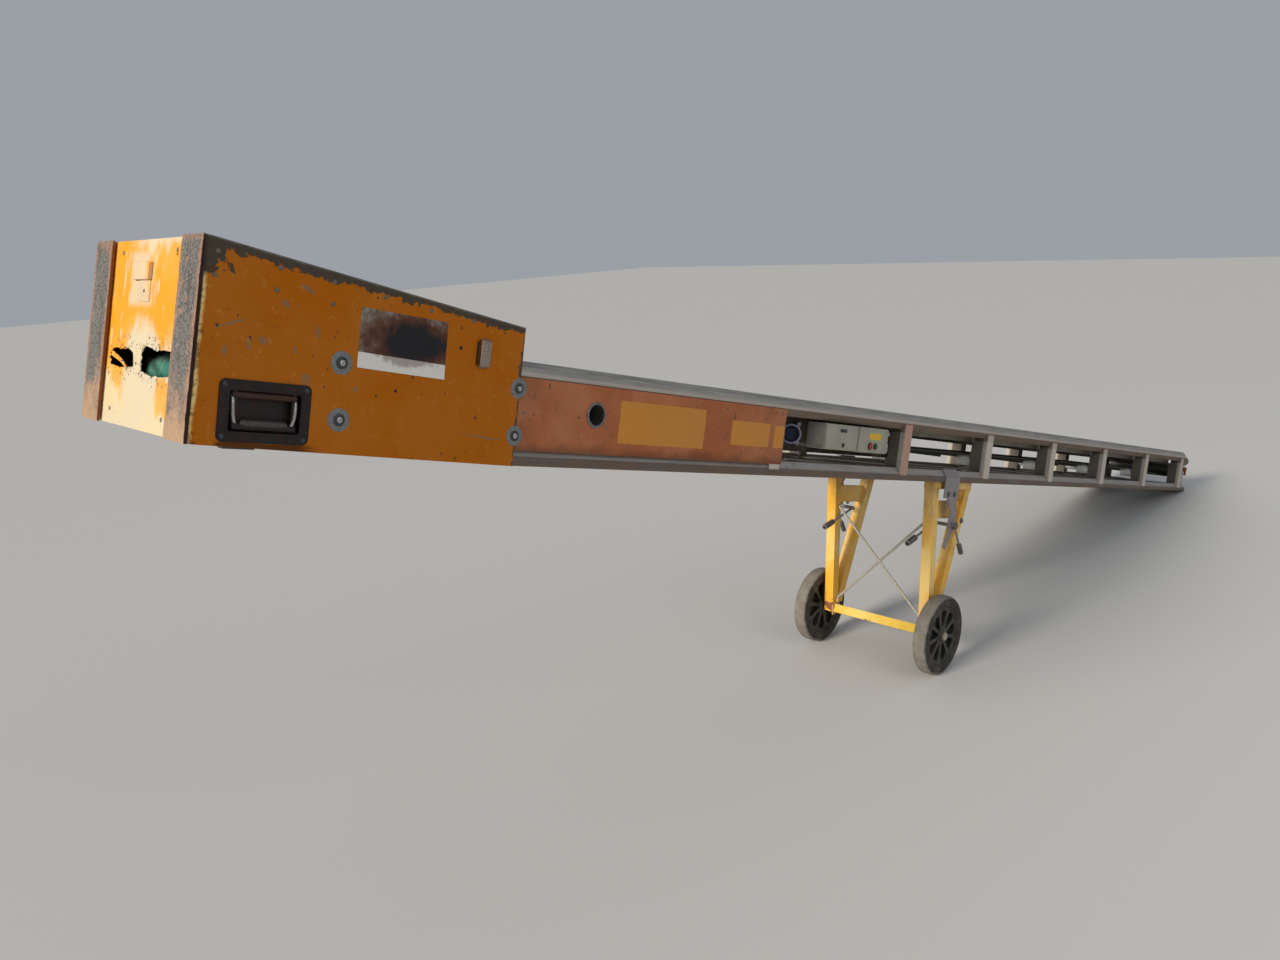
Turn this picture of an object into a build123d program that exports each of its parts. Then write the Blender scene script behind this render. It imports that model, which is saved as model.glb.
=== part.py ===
from build123d import *
from math import asin, atan2, cos, hypot, radians, sin, sqrt
import os

os.makedirs("parts", exist_ok=True)

# Mobile belt conveyor, standing on its two wheels and its discharge end.
# All sizes in millimetres. Deck coordinates: s runs along the conveyor from the
# hopper end (0) to the discharge end, y across it (+ is left), n square to the deck.

# Frame
LENGTH = 6000.0
WIDTH = 500.0
HEIGHT = 235.0
TILT = 13.5
RAIL_DEPTH = 60.0
RAIL_WALL = 3.0
TOP_RAIL_H = 55.0
BOTTOM_RAIL_H = 44.0
RAIL_BEVEL = 20.0
NOSE_LENGTH = 94.0
NOSE_DROP = 31.0
ELECTRICS_BAY = 733.0
OPEN_BAYS = 5
POST_END_GAP = 96.0
POST_WIDTH = 50.0
POST_SET_IN = 2.0
POST_INNER = 8.0
POST_WALL = 5.0
CROSS_BAR = 30.0
CROSS_BAR_LOW = 6.0

# Wheels and stand
WHEEL_D = 310.0
TYRE_WIDTH = 55.0
RIM_D = 226.0
WHEEL_TRACK = 539.0
AXLE_S = 2878.0
SPINDLE_D = 20.0
LEG = 40.0
LEG_WALL = 3.0
LEG_Y = 214.0
LEG_TOP_FRONT = 2778.0
LEG_TOP_REAR = 3048.0
SLIDE_GAP = 0.4
PIN_GAP = 0.3

# Belt and drums; a roller, a bar or a hidden bore is a polygon of this many corners
BELT_WIDTH = 310.0
BELT_T = 4.0
DRUM_R = 40.0
DRUM_N = 122.0
TAIL_S = 110.0
HEAD_IN = 64.0
DRUM_SHAFT_D = 25.0
DRUM_WALL = 4.0
DRUM_DISC = 10.0
DRUM_BORE_CORNERS = 24
BEARING_BLOCK = 56.0
TAKE_UP_SCREW_D = 16.0
ROLLER_D = 44.0
ROLLER_N = 86.0
ROLLER_LENGTH = 58.0
ROLLER_CORNERS = 24
CLEAT_H = 20.0
CLEAT_T = 6.0
CLEAT_WIDTH = 220.0
CLEAT_PITCH = 420.0
BED_T = 2.0

# Bars and grips
GRIP_CORNERS = 12
ROD_CORNERS = 8

# Hopper
HOOD_LENGTH = 703.0
HOOD_H_TAIL = 373.0
HOOD_H_FRONT = 307.0
HOOD_LOW_TAIL = 17.0
HOOD_FOOT_S = -10.0
HOOD_LEAN = 8.0
PLATE = 3.0
BEND_R = 8.0
FLANGE = 20.0
STRIP_WIDTH = 90.0
STRIP_T = 7.0
STRIP_OUT = 3.0
LINER_TOP = 296.0
LINER_T = 4.0

# Side panel, lifting tube, electrics
PANEL_END = 1731.0
PANEL_LOW = 35.0
PANEL_T = 2.0
PANEL_LIP = 13.4
TUBE_S = 948.0
TUBE_N = 130.0
TUBE_D = 58.0
TUBE_BORE = 50.0

HALF = WIDTH / 2
HEAD_S = LENGTH - HEAD_IN
TOP_RAIL_LOW = HEIGHT - TOP_RAIL_H
BEVEL_TOP = HEIGHT - 13.0
LIP_LOW = HEIGHT - 33.0
BELT_RUN_N = DRUM_N + DRUM_R
WHEEL_R = WHEEL_D / 2
SLOPE = radians(TILT)
AXLE_N = (WHEEL_R - (LENGTH - AXLE_S) * sin(SLOPE)) / cos(SLOPE)
SCREW_END = LENGTH + 26.0
FRAME_START = 10.0

# Cross frame places: one behind the side panel's end, then equal bays up to the last
PANEL_POST = PANEL_END - POST_WIDTH - 5
BAY_START = PANEL_POST + POST_WIDTH
FIRST_POST = BAY_START + ELECTRICS_BAY
LAST_POST = LENGTH - POST_END_GAP - POST_WIDTH
POST_PITCH = (LAST_POST - FIRST_POST) / OPEN_BAYS
POST_STARTS = [PANEL_POST] + [FIRST_POST + i * POST_PITCH for i in range(OPEN_BAYS + 1)]

# World X runs level, with its zero midway between the hopper strips and the take-up screws
X_TAIL = (HOOD_FOOT_S - STRIP_T - LENGTH) * cos(SLOPE) + HOOD_LOW_TAIL * sin(SLOPE)
X_HEAD = (SCREW_END - LENGTH) * cos(SLOPE) + (DRUM_N + 8) * sin(SLOPE)
DECK = Plane(
    origin=(-LENGTH * cos(SLOPE) - (X_TAIL + X_HEAD) / 2, 0, LENGTH * sin(SLOPE)),
    x_dir=(cos(SLOPE), 0, -sin(SLOPE)),
    z_dir=(sin(SLOPE), 0, cos(SLOPE)),
)


def place(s, y, n):
    """World point of a point given along, across and above the deck."""
    return DECK.from_local_coords(Vector(s, y, n))


def across(s):
    """Plane square to the conveyor at s: sketch x is y, sketch y is n, its normal is s."""
    return Plane(origin=place(s, 0, 0), x_dir=(0, 1, 0), z_dir=DECK.x_dir)


def beside(y):
    """Plane along the conveyor's side at y: sketch x is s, sketch y is n, its normal is -y."""
    return Plane(origin=place(0, y, 0), x_dir=DECK.x_dir, z_dir=(0, -1, 0))


def above(n):
    """Plane on the deck at height n: sketch x is s, sketch y is y."""
    return DECK.offset(n)


# The hopper's rear face leans over the frame: sketch x is y, sketch y runs up it, its normal points in
HOOD_UP = place(HOOD_FOOT_S + HOOD_LEAN, 0, HOOD_H_TAIL) - place(HOOD_FOOT_S, 0, HOOD_LOW_TAIL)
REAR = Plane(origin=place(HOOD_FOOT_S, 0, HOOD_LOW_TAIL), x_dir=(0, 1, 0), z_dir=Vector(0, 1, 0).cross(HOOD_UP))
REAR_H = HOOD_UP.length


SIDES = (("right", -1), ("left", 1))

# Outer corners of the rails' sections: distance in from the outer face, height n
TOP_SECTION = (
    (0, LIP_LOW), (0, BEVEL_TOP), (13, HEIGHT), (RAIL_DEPTH, HEIGHT),
    (RAIL_DEPTH, TOP_RAIL_LOW), (RAIL_BEVEL, TOP_RAIL_LOW),
)
BOTTOM_SECTION = (
    (4, 0), (0, 5), (0, 16), (RAIL_BEVEL, BOTTOM_RAIL_H), (RAIL_DEPTH, BOTTOM_RAIL_H), (RAIL_DEPTH, 0),
)

for side, hand in SIDES:
    with BuildPart() as top_rail:
        with BuildSketch(across(FRAME_START)) as top_run:
            with BuildLine():
                Polyline(*[(hand * (HALF - u), n) for u, n in TOP_SECTION], close=True)
            make_face()
            offset(amount=-RAIL_WALL, kind=Kind.INTERSECTION, mode=Mode.SUBTRACT)
        extrude(amount=LENGTH - NOSE_LENGTH - FRAME_START)
        with BuildSketch(across(LENGTH - NOSE_LENGTH)) as nose:
            with BuildLine():
                Polyline(*[(hand * (HALF - u), n) for u, n in TOP_SECTION], close=True)
            make_face()
            offset(amount=-RAIL_WALL, kind=Kind.INTERSECTION, mode=Mode.SUBTRACT)
        nose_way = place(NOSE_LENGTH, 0, -NOSE_DROP) - place(0, 0, 0)
        extrude(nose.sketch, amount=hypot(NOSE_LENGTH, NOSE_DROP), dir=nose_way)
    top_rail.part.label = f"top_rail_{side}"
    export_step(top_rail.part, f"parts/top_rail_{side}.step")

    with BuildPart() as bottom_rail:
        with BuildSketch(across(FRAME_START)):
            with BuildLine():
                Polyline(*[(hand * (HALF - u), n) for u, n in BOTTOM_SECTION], close=True)
            make_face()
            offset(amount=-RAIL_WALL, kind=Kind.INTERSECTION, mode=Mode.SUBTRACT)
        extrude(amount=LENGTH - FRAME_START)
    bottom_rail.part.label = f"bottom_rail_{side}"
    export_step(bottom_rail.part, f"parts/bottom_rail_{side}.step")

# Cross frames: channel posts that follow the rails' bevels, a bar under the slider bed and one below
BED_LOW = BELT_RUN_N - BED_T
POST_IN = HALF - RAIL_DEPTH - POST_INNER
POST_FOOT_N = 16 + (BOTTOM_RAIL_H - 16) * POST_SET_IN / RAIL_BEVEL
POST_HEAD_N = LIP_LOW - (LIP_LOW - TOP_RAIL_LOW) * POST_SET_IN / RAIL_BEVEL
POST_SECTION = (
    (POST_SET_IN, POST_FOOT_N), (POST_SET_IN, POST_HEAD_N), (RAIL_BEVEL, TOP_RAIL_LOW),
    (RAIL_DEPTH, TOP_RAIL_LOW), (RAIL_DEPTH, BED_LOW), (RAIL_DEPTH + POST_INNER, BED_LOW),
    (RAIL_DEPTH + POST_INNER, CROSS_BAR_LOW), (RAIL_DEPTH, CROSS_BAR_LOW), (RAIL_DEPTH, BOTTOM_RAIL_H),
    (RAIL_BEVEL, BOTTOM_RAIL_H),
)
BED_BAR_H = 12.0

for number, s_post in enumerate(POST_STARTS, start=1):
    with BuildPart() as cross_frame:
        for hand in (-1, 1):
            with BuildSketch(across(s_post)):
                with BuildLine():
                    Polyline(*[(hand * (HALF - u), n) for u, n in POST_SECTION], close=True)
                make_face()
            extrude(amount=POST_WIDTH)
            with BuildSketch(across(s_post + POST_WALL)):
                with Locations((hand * (HALF - (POST_SET_IN + RAIL_DEPTH) / 2), (BOTTOM_RAIL_H + TOP_RAIL_LOW) / 2)):
                    Rectangle(RAIL_DEPTH - POST_SET_IN - 2 * POST_WALL, TOP_RAIL_LOW - BOTTOM_RAIL_H)
            extrude(amount=POST_WIDTH - POST_WALL, mode=Mode.SUBTRACT)
        with BuildSketch(across(s_post + (POST_WIDTH - CROSS_BAR) / 2)):
            with Locations((0, CROSS_BAR_LOW + CROSS_BAR / 2)):
                Rectangle(2 * POST_IN, CROSS_BAR)
            with Locations((0, BED_LOW - BED_BAR_H / 2)):
                Rectangle(2 * POST_IN, BED_BAR_H)
        extrude(amount=CROSS_BAR)
    cross_frame.part.label = f"cross_frame_{number}"
    export_step(cross_frame.part, f"parts/cross_frame_{number}.step")

# Return rollers at the inner cross frames, each on a hexagon stub in its post
ROLLER_STUB = 2.0
ROLLER_FRAMES = POST_STARTS[1:-1]
with BuildPart() as return_rollers:
    for s_post in ROLLER_FRAMES:
        for hand in (-1, 1):
            with BuildSketch(beside(hand * (POST_IN - ROLLER_STUB))):
                with Locations((s_post + POST_WIDTH / 2, ROLLER_N)):
                    RegularPolygon(ROLLER_D / 2, ROLLER_CORNERS)
            extrude(amount=hand * ROLLER_LENGTH)
            with BuildSketch(beside(hand * POST_IN)):
                with Locations((s_post + POST_WIDTH / 2, ROLLER_N)):
                    RegularPolygon(7, 6)
            extrude(amount=hand * ROLLER_STUB)
return_rollers.part.label = "return_rollers"
export_step(return_rollers.part, "parts/return_rollers.step")

# Tail frame behind the hopper's end plate: low bar and the tail drum's bearing blocks
with BuildPart() as tail_frame:
    with BuildSketch(across(TAIL_S - 20)):
        with Locations((0, CROSS_BAR_LOW + CROSS_BAR / 2)):
            Rectangle(2 * (HALF - RAIL_DEPTH), CROSS_BAR)
    extrude(amount=40)
    for hand in (-1, 1):
        with BuildSketch(across(TAIL_S - 30)):
            with Locations((hand * (HALF - RAIL_DEPTH - 10), (CROSS_BAR_LOW + DRUM_N + 30) / 2)):
                Rectangle(20, DRUM_N + 30 - CROSS_BAR_LOW)
        extrude(amount=60)
    with BuildSketch(beside(0)):
        with Locations((TAIL_S, DRUM_N)):
            Circle(DRUM_SHAFT_D / 2)
    extrude(amount=HALF, both=True, mode=Mode.SUBTRACT)
tail_frame.part.label = "tail_frame"
export_step(tail_frame.part, "parts/tail_frame.step")

# End frame at the discharge: posts, low bar, head bearing blocks and their take-up screws
END_BAR_S = LENGTH - 35
END_BAR = 30.0
END_POST_TOP = DRUM_N + 24
BLOCK_Y = HALF - RAIL_DEPTH + 16
with BuildPart() as end_frame:
    with BuildSketch(across(END_BAR_S)):
        with Locations((0, CROSS_BAR_LOW + CROSS_BAR / 2)):
            Rectangle(2 * (HALF - RAIL_DEPTH), CROSS_BAR)
        for hand in (-1, 1):
            with Locations((hand * (HALF - RAIL_DEPTH - POST_INNER / 2), (CROSS_BAR_LOW + END_POST_TOP) / 2)):
                Rectangle(POST_INNER, END_POST_TOP - CROSS_BAR_LOW)
            with Locations((hand * (HALF - (RAIL_BEVEL + RAIL_DEPTH) / 2), (BOTTOM_RAIL_H + END_POST_TOP) / 2)):
                Rectangle(RAIL_DEPTH - RAIL_BEVEL, END_POST_TOP - BOTTOM_RAIL_H)
    extrude(amount=END_BAR)
    for hand in (-1, 1):
        with BuildSketch(across(HEAD_S - BEARING_BLOCK / 2)):
            with Locations((hand * BLOCK_Y, DRUM_N)):
                Rectangle(32, 50)
        extrude(amount=END_BAR_S - HEAD_S + BEARING_BLOCK / 2)
        with BuildSketch(across(END_BAR_S + END_BAR)):
            with Locations((hand * BLOCK_Y, DRUM_N)):
                RegularPolygon(14, 6)
        extrude(amount=12)
        with BuildSketch(across(END_BAR_S + END_BAR + 12)):
            with Locations((hand * BLOCK_Y, DRUM_N)):
                Circle(TAKE_UP_SCREW_D / 2)
        extrude(amount=SCREW_END - END_BAR_S - END_BAR - 12)
    with BuildSketch(beside(0)):
        with Locations((HEAD_S, DRUM_N)):
            Circle(DRUM_SHAFT_D / 2)
    extrude(amount=HALF, both=True, mode=Mode.SUBTRACT)
end_frame.part.label = "end_frame"
export_step(end_frame.part, "parts/end_frame.step")

# Drums with their shafts: the tail drum is a tube with end discs, the head drum holds the motor
# Columns: name, s, half length of the shell, half length of the shaft, whether it is a tube
DRUMS = (
    ("tail_drum", TAIL_S, 160.0, HALF - RAIL_DEPTH, True),
    ("head_drum", HEAD_S, 180.0, HALF - RAIL_DEPTH + 32, False),
)
for name, s_drum, half_shell, half_shaft, is_tube in DRUMS:
    with BuildPart() as drum:
        with BuildSketch(beside(0)):
            with Locations((s_drum, DRUM_N)):
                Circle(DRUM_R)
        extrude(amount=half_shell, both=True)
        if is_tube:
            for hand in (-1, 1):
                with BuildSketch(beside(hand * half_shell)):
                    with Locations((s_drum, DRUM_N)):
                        RegularPolygon(DRUM_R - DRUM_WALL, DRUM_BORE_CORNERS)
                extrude(amount=hand * (half_shell - DRUM_DISC / 2), mode=Mode.SUBTRACT)
        with BuildSketch(beside(0)):
            with Locations((s_drum, DRUM_N)):
                Circle(DRUM_SHAFT_D / 2)
        extrude(amount=half_shaft, both=True)
    drum.part.label = name
    export_step(drum.part, f"parts/{name}.step")

# Belt: its inner face runs over the drums, the slider bed and the return rollers
RETURN_N = ROLLER_N + ROLLER_D / 2 + BELT_T + 0.2
s_first = ROLLER_FRAMES[0] + POST_WIDTH / 2
s_last = ROLLER_FRAMES[-1] + POST_WIDTH / 2
top_count = int((HEAD_S - TAIL_S - 200) // CLEAT_PITCH)
return_count = int((s_last - s_first - 200) // CLEAT_PITCH)


def leaves_drum(s_drum, s_roller, facing):
    """Where the return run from a roller meets the underside of a drum; facing is +1 towards the head."""
    reach = hypot(s_drum - s_roller, DRUM_N - RETURN_N)
    dip = atan2(DRUM_N - RETURN_N, abs(s_drum - s_roller)) - asin(DRUM_R / reach)
    run = sqrt(reach**2 - DRUM_R**2)
    return s_roller + facing * run * cos(dip), RETURN_N + run * sin(dip)


head_foot = leaves_drum(HEAD_S, s_last, 1)
tail_foot = leaves_drum(TAIL_S, s_first, -1)
with BuildPart() as belt:
    with BuildSketch(beside(0)):
        with BuildLine() as inner_face:
            Line((TAIL_S, BELT_RUN_N), (HEAD_S, BELT_RUN_N))
            ThreePointArc((HEAD_S, BELT_RUN_N), (HEAD_S + DRUM_R, DRUM_N), head_foot)
            Polyline(head_foot, (s_last, RETURN_N), (s_first, RETURN_N), tail_foot)
            ThreePointArc(tail_foot, (TAIL_S - DRUM_R, DRUM_N), (TAIL_S, BELT_RUN_N))
        make_face()
        offset(amount=BELT_T, kind=Kind.INTERSECTION)
        make_face(inner_face.edges(), mode=Mode.SUBTRACT)
    extrude(amount=BELT_WIDTH / 2, both=True)
    with BuildSketch(beside(0)) as cleats:
        for i in range(top_count + 1):
            with Locations((TAIL_S + 150 + i * CLEAT_PITCH, BELT_RUN_N + BELT_T + CLEAT_H / 2)):
                Rectangle(CLEAT_T, CLEAT_H)
        for i in range(return_count + 1):
            with Locations((s_first + 120 + i * CLEAT_PITCH, RETURN_N - BELT_T - CLEAT_H / 2)):
                Rectangle(CLEAT_T, CLEAT_H)
    extrude(amount=CLEAT_WIDTH / 2, both=True)
belt.part.label = "belt"
export_step(belt.part, "parts/belt.step")

# Slider bed under the carrying run, and the flared skirts beside the belt
BED_HALF = BELT_WIDTH / 2 + 9
with BuildPart() as slider_bed:
    with BuildSketch(across(TAIL_S + DRUM_R + 10)):
        with Locations((0, BED_LOW + BED_T / 2)):
            Rectangle(2 * BED_HALF, BED_T)
    extrude(amount=HEAD_S - TAIL_S - 2 * DRUM_R - 20)
slider_bed.part.label = "slider_bed"
export_step(slider_bed.part, "parts/slider_bed.step")

SKIRT_TOP_Y = HALF - RAIL_DEPTH
for side, hand in SIDES:
    with BuildPart() as skirt:
        with BuildSketch(across(TAIL_S + DRUM_R + 10)):
            with BuildLine():
                Polyline(
                    (hand * BED_HALF, BELT_RUN_N),
                    (hand * SKIRT_TOP_Y, HEIGHT - 4),
                    (hand * (SKIRT_TOP_Y - 2), HEIGHT - 3),
                    (hand * (BED_HALF - 2), BELT_RUN_N + 1),
                    close=True,
                )
            make_face()
        extrude(amount=HEAD_S - TAIL_S - 2 * DRUM_R - 20)
    skirt.part.label = f"skirt_{side}"
    export_step(skirt.part, f"parts/skirt_{side}.step")

# Hopper side plates, each with the opening for its recessed handle
HANDLE_S = (38.0, 210.0)
HANDLE_N = (24.0, 135.0)
DISH_RIM = 17.0
DISH_DEPTH = 18.0
handle_mid = (sum(HANDLE_S) / 2, sum(HANDLE_N) / 2)
handle_size = (HANDLE_S[1] - HANDLE_S[0], HANDLE_N[1] - HANDLE_N[0])
pan_size = (handle_size[0] - 2 * DISH_RIM, handle_size[1] - 2 * DISH_RIM)

HOOD_OUTLINE = (
    (HOOD_FOOT_S, HOOD_LOW_TAIL), (HOOD_LENGTH, 0), (HOOD_LENGTH, HOOD_H_FRONT),
    (HOOD_FOOT_S + HOOD_LEAN, HOOD_H_TAIL),
)

for side, hand in SIDES:
    with BuildPart() as hopper_side:
        corner = REAR.origin + Vector(0, hand * (HALF + PLATE), 0) - HOOD_UP.normalized() * BEND_R
        with BuildSketch(Plane(origin=corner, x_dir=REAR.z_dir, z_dir=HOOD_UP)):
            with BuildLine():
                FilletPolyline(
                    (2 * BEND_R, -hand * PLATE / 2), (PLATE / 2, -hand * PLATE / 2), (PLATE / 2, -hand * FLANGE),
                    radius=BEND_R - PLATE / 2,
                )
            trace(line_width=PLATE)
        extrude(amount=REAR_H + 2 * BEND_R)
        with BuildSketch(beside(hand * (HALF + PLATE / 2))):
            with BuildLine():
                Polyline(
                    (HOOD_FOOT_S + HOOD_LEAN + BEND_R, 0), (HOOD_LENGTH, 0), (HOOD_LENGTH, HOOD_H_TAIL),
                    (HOOD_FOOT_S + HOOD_LEAN + BEND_R, HOOD_H_TAIL), close=True,
                )
            make_face()
            with Locations(handle_mid):
                RectangleRounded(*pan_size, 8, mode=Mode.SUBTRACT)
        extrude(amount=PLATE / 2, both=True)
        with BuildSketch(beside(0)):
            with BuildLine():
                Polyline(*HOOD_OUTLINE, close=True)
            make_face()
        extrude(amount=WIDTH, both=True, mode=Mode.INTERSECT)
    hopper_side.part.label = f"hopper_side_{side}"
    export_step(hopper_side.part, f"parts/hopper_side_{side}.step")

    # Recessed handle: rim and pan pressed from one sheet, with its bail and grip
    with BuildPart() as handle:
        with BuildSketch(beside(hand * (HALF + PLATE))):
            with Locations(handle_mid):
                RectangleRounded(*handle_size, 12)
                RectangleRounded(pan_size[0] - 4, pan_size[1] - 4, 6, mode=Mode.SUBTRACT)
        extrude(amount=-hand * 2)
        with BuildSketch(beside(hand * (HALF + PLATE))):
            with Locations(handle_mid):
                RectangleRounded(*pan_size, 8)
                RectangleRounded(pan_size[0] - 4, pan_size[1] - 4, 6, mode=Mode.SUBTRACT)
        extrude(amount=hand * DISH_DEPTH)
        with BuildSketch(beside(hand * (HALF + PLATE - DISH_DEPTH))):
            with Locations(handle_mid):
                RectangleRounded(*pan_size, 8)
        extrude(amount=hand * 2)
        bail_y = hand * (HALF + PLATE - 6)
        grip_n = HANDLE_N[0] + DISH_RIM + 11
        with BuildSketch(beside(bail_y)):
            with Locations((handle_mid[0] - pan_size[0] / 2 + 14, (grip_n + HANDLE_N[1] - DISH_RIM) / 2),
                           (handle_mid[0] + pan_size[0] / 2 - 14, (grip_n + HANDLE_N[1] - DISH_RIM) / 2)):
                Rectangle(8, HANDLE_N[1] - DISH_RIM - grip_n)
        extrude(amount=4, both=True)
        with BuildSketch(Plane(origin=place(handle_mid[0], bail_y, grip_n), x_dir=(0, 1, 0), z_dir=DECK.x_dir)):
            RegularPolygon(8, GRIP_CORNERS)
        extrude(amount=pan_size[0] / 2 - 10, both=True)
    handle.part.label = f"handle_{side}"
    export_step(handle.part, f"parts/handle_{side}.step")

# Hopper end plate behind the side plates' flanges, with two worn-through holes, a latch cover and
# its tab. Corners as (y, height over the plate's foot)
HOLE_LEFT = ((26, 117), (34, 143), (60, 151), (140, 149), (160, 135), (152, 116), (90, 111))
HOLE_RIGHT = ((-151, 107), (-148, 153), (-60, 155), (-20, 159), (-2, 143), (-6, 111), (-60, 102))
END_HALF = HALF + PLATE - BEND_R - 1
with BuildPart() as hopper_end:
    with BuildSketch(REAR.offset(PLATE)):
        with Locations((0, REAR_H / 2)):
            Rectangle(2 * END_HALF, REAR_H - 2)
        for hole in (HOLE_LEFT, HOLE_RIGHT):
            with BuildLine():
                Polyline(*hole, close=True)
            make_face(mode=Mode.SUBTRACT)
    extrude(amount=PLATE)
    with BuildSketch(REAR.offset(PLATE)):
        with Locations((16, 296)):
            Rectangle(78, 32)
    extrude(amount=-7)
    with BuildSketch(REAR.offset(PLATE)):
        with Locations((4, 260)):
            Rectangle(54, 40)
    extrude(amount=-2)
hopper_end.part.label = "hopper_end"
export_step(hopper_end.part, "parts/hopper_end.step")

with BuildPart() as bump_strips:
    with BuildSketch(REAR.offset(-STRIP_T)):
        for hand in (-1, 1):
            with Locations((hand * (HALF + PLATE + STRIP_OUT - STRIP_WIDTH / 2), REAR_H / 2)):
                Rectangle(STRIP_WIDTH, REAR_H)
    extrude(amount=STRIP_T)
bump_strips.part.label = "bump_strips"
export_step(bump_strips.part, "parts/bump_strips.step")

# Liners that close the hopper down to the belt
TAIL_LINER_LOW = HEIGHT - 45.0
for side, hand in SIDES:
    with BuildPart() as liner:
        with BuildSketch(across(FRAME_START)):
            with BuildLine():
                Polyline(
                    (hand * HALF, LINER_TOP - LINER_T), (hand * HALF, LINER_TOP - 2 * LINER_T),
                    (hand * (SKIRT_TOP_Y + 2), HEIGHT), (hand * (SKIRT_TOP_Y - LINER_T), HEIGHT),
                    close=True,
                )
            make_face()
        extrude(amount=HOOD_LENGTH - FRAME_START - 3)
    liner.part.label = f"hopper_liner_{side}"
    export_step(liner.part, f"parts/hopper_liner_{side}.step")

# The tail liner leans from the end plate's inner face
liner_s = HOOD_FOOT_S + HOOD_LEAN * (LINER_TOP - HOOD_LOW_TAIL) / (HOOD_H_TAIL - HOOD_LOW_TAIL) + 2 * PLATE + 0.05
with BuildPart() as tail_liner:
    with BuildSketch(beside(0)):
        with BuildLine():
            Polyline((liner_s, LINER_TOP), (liner_s, LINER_TOP - LINER_T), (TAIL_S + 2, TAIL_LINER_LOW),
                     (TAIL_S + 8, TAIL_LINER_LOW), close=True)
        make_face()
    extrude(amount=SKIRT_TOP_Y - 5, both=True)
tail_liner.part.label = "hopper_liner_tail"
export_step(tail_liner.part, "parts/hopper_liner_tail.step")

# Side panels between the rails, and the lifting tube that runs through both
for side, hand in SIDES:
    with BuildPart() as side_panel:
        with BuildSketch(beside(hand * HALF)):
            with Locations(((HOOD_LENGTH + 2 + PANEL_END) / 2, (PANEL_LOW + LIP_LOW - 2.5) / 2)):
                Rectangle(PANEL_END - HOOD_LENGTH - 2, LIP_LOW - 2.5 - PANEL_LOW)
            with Locations((TUBE_S, TUBE_N)):
                Circle(TUBE_D / 2, mode=Mode.SUBTRACT)
        extrude(amount=hand * PANEL_T)
        with BuildSketch(above(PANEL_LOW)):
            with Locations(((HOOD_LENGTH + 2 + PANEL_POST) / 2, hand * (HALF - PANEL_LIP / 2))):
                Rectangle(PANEL_POST - HOOD_LENGTH - 2, PANEL_LIP)
        extrude(amount=PANEL_T)
    side_panel.part.label = f"side_panel_{side}"
    export_step(side_panel.part, f"parts/side_panel_{side}.step")

with BuildPart() as lift_tube:
    with BuildSketch(beside(0)):
        with Locations((TUBE_S, TUBE_N)):
            Circle(TUBE_D / 2)
            Circle(TUBE_BORE / 2, mode=Mode.SUBTRACT)
    extrude(amount=HALF, both=True)
lift_tube.part.label = "lift_tube"
export_step(lift_tube.part, "parts/lift_tube.step")

# Electrics in the bay behind the side panel, on the right side
# Columns: name, place in the bay from, to, n from, n to, depth
PLATE_IN = 76.0
PLATE_N = (73.0, 177.0)
BOXES = (
    ("converter_box", 232.0, 424.0, 90.0, 173.0, 70.0),
    ("switch_box", 438.0, 628.0, 88.0, 173.0, 66.0),
)
with BuildPart() as mounting_plate:
    with BuildSketch(beside(-HALF + PLATE_IN + PLATE)):
        with Locations((BAY_START + ELECTRICS_BAY / 2, sum(PLATE_N) / 2)):
            Rectangle(ELECTRICS_BAY, PLATE_N[1] - PLATE_N[0])
    extrude(amount=PLATE)
    with BuildSketch(above(PLATE_N[0])):
        for s_tab in (BAY_START + 2, FIRST_POST - 2):
            with Locations((s_tab, -HALF + (RAIL_DEPTH + PLATE_IN) / 2)):
                Rectangle(4, PLATE_IN - RAIL_DEPTH)
    extrude(amount=PLATE_N[1] - PLATE_N[0])
mounting_plate.part.label = "mounting_plate"
export_step(mounting_plate.part, "parts/mounting_plate.step")

for name, s_from, s_to, n_from, n_to, depth in BOXES:
    with BuildPart() as box:
        with BuildSketch(beside(-HALF + PLATE_IN)):
            with Locations((BAY_START + (s_from + s_to) / 2, (n_from + n_to) / 2)):
                Rectangle(s_to - s_from, n_to - n_from)
        extrude(amount=depth)
        fillet(box.faces().sort_by(Axis.Y)[0].edges(), 4)
    box.part.label = name
    export_step(box.part, f"parts/{name}.step")

# Mains inlet: a foot on the plate and a round collar turned towards the hopper
INLET_BAY_S = 96.0
INLET_N = 128.0
INLET_TURN = 35.0
INLET_CORNERS = 24
INLET_AT = place(BAY_START + INLET_BAY_S, -HALF + 40, INLET_N)
inlet_out = place(-cos(radians(INLET_TURN)), -sin(radians(INLET_TURN)), 0) - place(0, 0, 0)
with BuildPart() as mains_inlet:
    with BuildSketch(beside(-HALF + PLATE_IN)):
        with Locations((BAY_START + INLET_BAY_S - 24, INLET_N - 4)):
            Rectangle(60, 62)
    extrude(amount=20)
    with BuildSketch(Plane(origin=INLET_AT, x_dir=DECK.z_dir, z_dir=inlet_out)):
        RegularPolygon(26, INLET_CORNERS)
    extrude(amount=-24)
    with BuildSketch(Plane(origin=INLET_AT, x_dir=DECK.z_dir, z_dir=inlet_out)):
        RegularPolygon(31, INLET_CORNERS)
        RegularPolygon(24, INLET_CORNERS, mode=Mode.SUBTRACT)
    extrude(amount=16)
mains_inlet.part.label = "mains_inlet"
export_step(mains_inlet.part, "parts/mains_inlet.step")

# Wheel stand: on each side a front and a rear leg under a top bar, with a gusset
BAR_LOW = -28.0
BAR_TOP = -SLIDE_GAP
LEG_FOOT_REAR = (AXLE_S + 26, AXLE_N + 18)


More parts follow.
